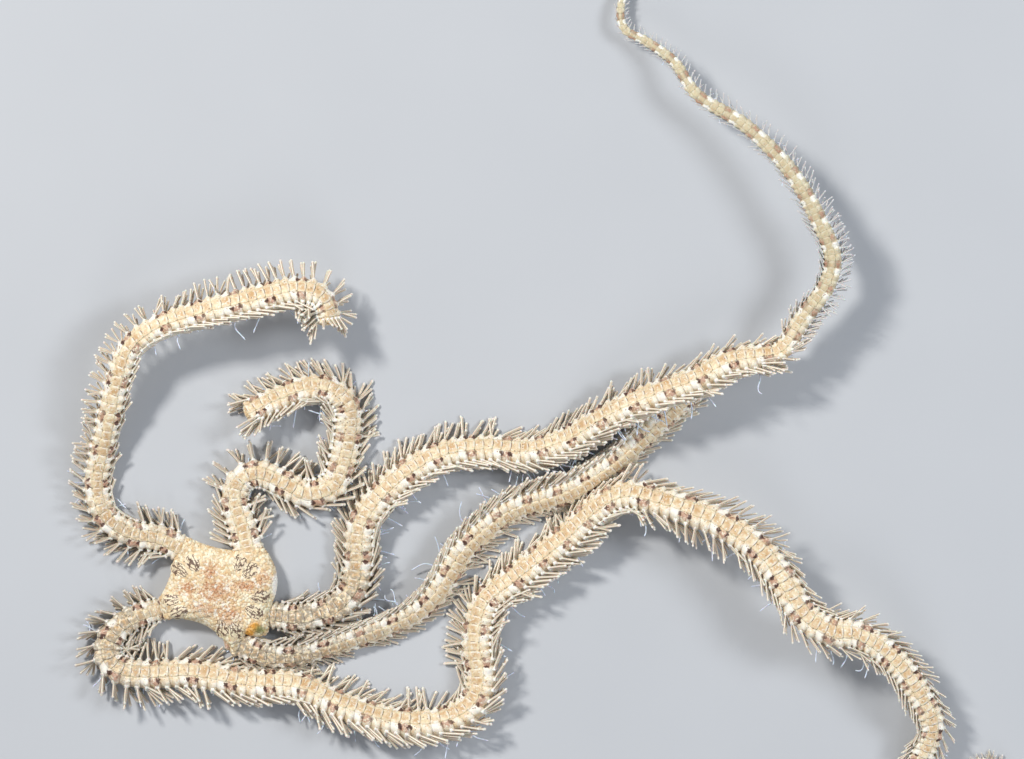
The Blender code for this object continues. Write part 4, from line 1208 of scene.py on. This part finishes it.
# The back is in the left half of the square, and the underside in the right.
def discUnwrap(points, share, middle):
    angle = angleOf(points)
    x, y = 0.23 * share * np.cos(angle), 0.46 * share * np.sin(angle)
    return np.stack([middle + x, 0.5 + y], -1)


def insideArms(points):
    away = np.linalg.norm(points[:, None] - cores["at"], axis=2)
    return (away < cores["width"] * 0.92).any(1)


# Below 1 inside a shield, seen from above.
def shieldShare(points):
    least = np.full(len(points), 9.0)
    for middle in np.array(shield["middles"]):
        way = unit(middle)
        offset = points[:, :2] - middle
        x = offset @ way / (shield["length"] / 2)
        y = offset @ np.array([-way[1], way[0]]) / (shield["width"] / 2)
        least = np.minimum(least, np.hypot(x, y))
    return least


# Corners of domes on a surface: sizes are along the first and second directions and upwards.
def layDomes(shape, middles, first, second, normal, sizes, heights, ragged=0.0, tilt=0.0):
    turn, reach, ring = shape["turn"], shape["reach"], shape["ring"]
    wobble = 1 + ragged * rng.normal(0, 1, (len(middles), len(set(turn.round(6)))))
    wobble = np.tile(wobble, (1, ring.max() + 1))
    x = (reach * np.cos(turn))[None] * sizes[:, :1] * wobble
    y = (reach * np.sin(turn))[None] * sizes[:, 1:2] * wobble
    z = np.array(heights)[ring][None] * sizes[:, 2:3] + tilt * x
    return (middles[:, None] + x[..., None] * first[:, None] + y[..., None] * second[:, None]
            + z[..., None] * normal[:, None])


# Each scale has its own tone and a dark edge.
def stampScales(name, shape, points, tones, uv):
    values = discMarks(points)
    values["tone"] = rng.uniform(*tones, (len(points), 1))
    values["edge"] = shape["reach"][None] ** 3
    return stamp(name, shape, points, values, discMaterial, uv)


# Overlapping scales all over the disc, laid on a spiral so that they are evenly close.
def discScales():
    count = scale["count"]
    weight = np.concatenate(([0], np.cumsum(profileFine[:, 0] + 0.02)))
    weight = weight[:-1] / weight[-1]
    q = np.interp((np.arange(count) + 0.5) / count, weight, fine)
    angle = np.arange(count) * goldenTurn * np.pi + rng.uniform(-0.03, 0.03, count)
    angle = (angle + np.pi) % (2 * np.pi) - np.pi
    q = np.clip(q + rng.uniform(-0.006, 0.006, count), 0.09, 0.995)
    here, outer, across, normal = discFrame(angle, q)
    keep = ~insideArms(here) & ((shieldShare(here) > shield["clear"]) | (q < 0.5))
    q, here, outer, across, normal = q[keep], here[keep], outer[keep], across[keep], normal[keep]
    count = len(here)
    shape = domeShape(scale["sides"], scale["rings"])
    sizes = scale["radius"] * rng.uniform(0.82, 1.2, (count, 3)) * [scale["long"], 1, 1]
    sizes[:, 2] = rng.uniform(0.8, 1.2, count)
    below = q[:, None] < 0.5
    hand = np.where(below, -1, 1)
    points = layDomes(shape, here, outer * hand, across * hand, normal, sizes,
                      scale["heights"], scale["ragged"], scale["tilt"])
    share = 2 * np.where(below, q[:, None], 1 - q[:, None])
    uv = discUnwrap(points, share, np.where(below, 0.75, 0.25))
    return stampScales("disc_scales", shape, points, scale["tones"], uv)


# Low oval plates in pairs, netted with dark lines that run along them.
def radialShields():
    middles = np.array(shield["middles"])
    way = unit(middles)
    shape = domeShape(shield["sides"], shield["rings"])
    long = (shape["reach"] * np.cos(shape["turn"]))[None]
    high = (shape["reach"] * np.sin(shape["turn"]))[None]
    x = long * shield["length"] / 2
    y = high * shield["width"] / 2 * (1 + shield["egg"] * x)
    px = middles[:, :1] + x * way[:, :1] - y * way[:, 1:]
    py = middles[:, 1:] + x * way[:, 1:] + y * way[:, :1]
    rise = shield["standsOut"] * np.sqrt(np.clip(1.02 - shape["reach"] ** 2, 0, 1)) + 0.02
    last = shape["ring"] == shape["ring"].max()
    points = np.stack([px, py, 0 * px], -1)
    points[..., 2] = discTop(points) + rise - shield["sunk"] * last
    values = discMarks(points)
    values["alongShield"] = long
    values["acrossShield"] = high
    values["which"] = np.arange(len(middles))[:, None] * 7.3
    uv = discUnwrap(points, edgeShare(points), 0.25)
    return stamp("radial_shields", shape, points, values, shieldMaterial, uv)


# Underneath: five oral shields, the jaws' plates beside them, and their teeth.
def mouthPlates():
    angles = np.sort([np.arctan2(*plan["route"][0][1::-1]) for plan in armPlan.values()])
    gaps = np.append(angles[1:], angles[0] + 2 * np.pi) - angles
    rows = []                   # angle, distance from the middle, length, width, height
    for angle, gap in zip(angles + gaps / 2, gaps):
        rows.append((angle, *mouth["oral"][1:]))
        for hand in (-1, 1):
            share, *rest = mouth["jaw"]
            rows.append((angle + hand * gap * share, *rest))
            turn, away, *rest = mouth["tooth"]
            for k in range(mouth["teeth"]):
                more, farther = np.array(mouth["toothSteps"]) * k
                rows.append((angle + hand * (turn + more), away + farther, *rest))
        rows.append((angle, *mouth["tip"][1:]))
    rows = np.array(rows)
    angle, away = rows[:, 0], rows[:, 1]
    shape = domeShape(mouth["sides"], mouth["rings"])
    first = np.stack([np.cos(angle), np.sin(angle), 0 * angle], 1)
    second = np.stack([np.sin(angle), -np.cos(angle), 0 * angle], 1)
    middles = first * away[:, None] + [0, 0, mouth["above"]]
    normal = np.tile([0.0, 0.0, -1.0], (len(rows), 1))
    points = layDomes(shape, middles, first, second, normal, rows[:, 2:], mouth["heights"])
    uv = 0.5 + points[..., :2] / 9
    return stampScales("mouth_plates", shape, points, mouth["tones"], uv)


for make in (discScales, radialShields, mouthPlates):
    place(make(), "disc")
print("disc covered")

endScale = {
    "arms": "abd", "count": 60, "radius": 0.22, "from": 0.35, "sunk": -0.17, "bulge": 0.45,
    "heights": (0.07, 0.045, -0.06), "patch": 0.0015,
}


# Small scales over the blunt ends of the short arms.
def endScales():
    shape = domeShape(scale["sides"], scale["rings"])
    count = endScale["count"]
    share = np.sqrt((np.arange(count) + 0.5) / count)[:, None]
    roundAt = (np.arange(count) * goldenTurn + 1) % 2 - 1
    turn, onPatch = np.pi * roundAt, shape["turn"]
    patch = np.stack([np.cos(onPatch), np.sin(onPatch)], 1) * shape["reach"][:, None]
    points, uv = [], []
    for k, name in enumerate(endScale["arms"]):
        arm = arms[name]
        at = arm.length - endScale["from"]
        width, middle = arm.read("width", at), arm.read("core", at)
        forward = arm.read("forward", at)
        rim, _ = arm.wrap(at, roundAt, endScale["sunk"] * width / usualWidth)
        out = rim - middle
        rise = np.sqrt(1 - share**2)
        here = middle + out * share + forward * rise * endScale["bulge"] * width
        normal = unit(unit(out) * share * endScale["bulge"] + forward * rise)
        first = unit(unit(out) - normal * (unit(out) * normal).sum(1, keepdims=True))
        sizes = endScale["radius"] * rng.uniform(0.8, 1.2, (count, 3))
        sizes[:, 2] = rng.uniform(0.8, 1.3, count)
        points.append(layDomes(shape, here, first, np.cross(normal, first), normal, sizes,
                               endScale["heights"], scale["ragged"], scale["tilt"]))
        reach = 0.4 * share[:, 0]
        spot = np.stack([0.5 + reach * np.cos(turn), (k + 0.5 + reach * np.sin(turn)) / 3], 1)
        uv.append(spot[:, None] + patch * endScale["patch"])
    points, uv = np.concatenate(points), np.concatenate(uv)
    return stampScales("arm_end_scales", shape, points, scale["tones"], uv)


place(endScales(), "arm")
print("arm ends covered")

# The skin: a tube for each arm, joined to the body of the disc in one union.
skin = {
    "ringStep": 0.3, "sides": 24, "sunk": -0.17, "inner": 0.1, "outer": 0.35, "endRings": 5,
    "bulge": 0.45, "discAround": 120, "discAlong": 60, "rows": 6,
}


# One closed tube of the skin, with its own row of the unwrap.
def stampSkin(name, shape, points, values, uv):
    return stamp(name, shape, points.reshape(1, -1, 3), values, skinMaterial, uv[None], True)


def armTube(arm, row):
    inner, outer = arm.start + skin["inner"], arm.length - skin["outer"]
    along = np.linspace(inner, outer, int((arm.length - inner) / skin["ringStep"]))
    shape = tubeShape(len(along) + skin["endRings"], skin["sides"])
    roundAt = shape["turn"][:skin["sides"]] / np.pi
    width = arm.read("width", along)
    sunk = skin["sunk"] * width / usualWidth
    points, _ = arm.wrap(along[:, None], roundAt[None], sunk[:, None])
    middle = points[-1].mean(0)
    bulge = arm.read("forward", outer) * skin["bulge"] * width[-1]
    shares = np.cos(np.linspace(0, 1, skin["endRings"] + 2)[1:-1] * np.pi / 2)
    ends = [middle + (points[-1] - middle) * share + bulge * np.sqrt(1 - share**2)
            for share in shares]
    points = np.concatenate([points, ends])
    places = np.pad(along, (0, skin["endRings"]), mode="edge")
    values = arm.marks(np.repeat(places, skin["sides"]), np.tile(roundAt, len(places)))
    x, y = shape["patch"].T
    uv = np.stack([0.01 + 0.98 * (y + 0.08) / 1.16, (row + 0.05 + 0.9 * x) / skin["rows"]], 1)
    return stampSkin("tube_" + arm.name, shape, points, values, uv)


def discBody(row):
    q = np.linspace(0.002, 0.998, skin["discAlong"])
    shape = tubeShape(skin["discAlong"], skin["discAround"])
    points = discPoint(shape["turn"], np.repeat(q, skin["discAround"]))
    values = {"segment": 0, "round": 1, "dusky": 0, "ringed": 0, **discMarks(points)}
    x, y = shape["patch"].T
    uv = np.stack([0.01 + 0.98 * x, (row + 0.08 + 0.84 * y) / skin["rows"]], 1)
    return stampSkin("skin", shape, points, values, uv)


body = discBody(skin["rows"] - 1)
tubes = bpy.data.collections.new("tubes")
bpy.context.scene.collection.children.link(tubes)
for i, arm in enumerate(arms.values()):
    tube = armTube(arm, i)
    bpy.context.scene.collection.objects.unlink(tube)
    tubes.objects.link(tube)
union = body.modifiers.new("union", "BOOLEAN")
union.operation = "UNION"
union.operand_type = "COLLECTION"
union.collection = tubes
union.solver = "MANIFOLD"
graph = bpy.context.evaluated_depsgraph_get()
joined = bpy.data.meshes.new_from_object(
    body.evaluated_get(graph), preserve_all_data_layers=True, depsgraph=graph,
)
body.modifiers.clear()
body.data = joined
body.data.name = "skin"
for tube in list(tubes.objects):
    bpy.data.objects.remove(tube)
bpy.data.collections.remove(tubes)
place(body, "disc", *sorted(frame["nodes"]))
print("skin joined:", len(body.data.polygons), "faces")

# The floor, the lights and the camera, in metres.
stageLook = {
    "middle": (0.0336, 0.0249), "floorSize": 1.2, "lens": 200, "sensor": 36,
    "pictureWidth": 0.1178, "subject": 0.002, "clip": (0.01, 10),
    "lights": {                 # from the middle, size, power and colour
        "key": ((-0.32, 0.25, 0.42), 0.10, 2.8, (1, 0.97, 0.92)),
        "fill": ((0.38, 0.05, 0.34), 0.16, 1.1, (0.94, 0.97, 1)),
        "rim": ((0.05, -0.45, 0.30), 0.2, 0.4, (1, 1, 1)),
    },
    "sky": (0.85, 0.9, 1, 1), "skyStrength": 0.30,
}


def makeFloor():
    half = stageLook["floorSize"] / 2
    x, y = stageLook["middle"]
    corners = [(x + half * i, y + half * k, 0) for i, k in ((-1, -1), (1, -1), (1, 1), (-1, 1))]
    mesh = bpy.data.meshes.new("floor")
    mesh.from_pydata(corners, [], [(0, 1, 2, 3)])
    floor = bpy.data.objects.new("floor", mesh)
    bpy.context.scene.collection.objects.link(floor)
    tree = Tree("floorCard")
    tree.begin(tree.noise(0.05, 2), "floorDark", "floorPale")
    mesh.materials.append(tree.finish(0.7, tree.noise(3, 2), 0.05, 0.02))


def makeLight(name, where, size, power, colour):
    light = bpy.data.lights.new(name, "AREA")
    light.shape = "DISK"
    light.size = size
    light.energy = power
    light.color = colour
    lamp = bpy.data.objects.new(name, light)
    target = Vector((*stageLook["middle"], 0))
    lamp.location = target + Vector(where)
    lamp.rotation_euler = (target - lamp.location).to_track_quat("-Z", "Y").to_euler()
    bpy.context.scene.collection.objects.link(lamp)


bpy.context.scene.view_settings.view_transform = "Standard"
makeFloor()
for name, settings in stageLook["lights"].items():
    makeLight(name, *settings)
world = bpy.data.worlds.new("studio")
bpy.context.scene.world = world
world.use_nodes = True
background = world.node_tree.nodes["Background"]
background.inputs["Color"].default_value = stageLook["sky"]
background.inputs["Strength"].default_value = stageLook["skyStrength"]

camera = bpy.data.cameras.new("camera")
camera.lens = stageLook["lens"]
camera.sensor_width = stageLook["sensor"]
camera.clip_start, camera.clip_end = stageLook["clip"]
cameraObject = bpy.data.objects.new("camera", camera)
distance = stageLook["pictureWidth"] * camera.lens / camera.sensor_width
cameraObject.location = (*stageLook["middle"], distance + stageLook["subject"])
bpy.context.scene.collection.objects.link(cameraObject)
bpy.context.scene.camera = cameraObject
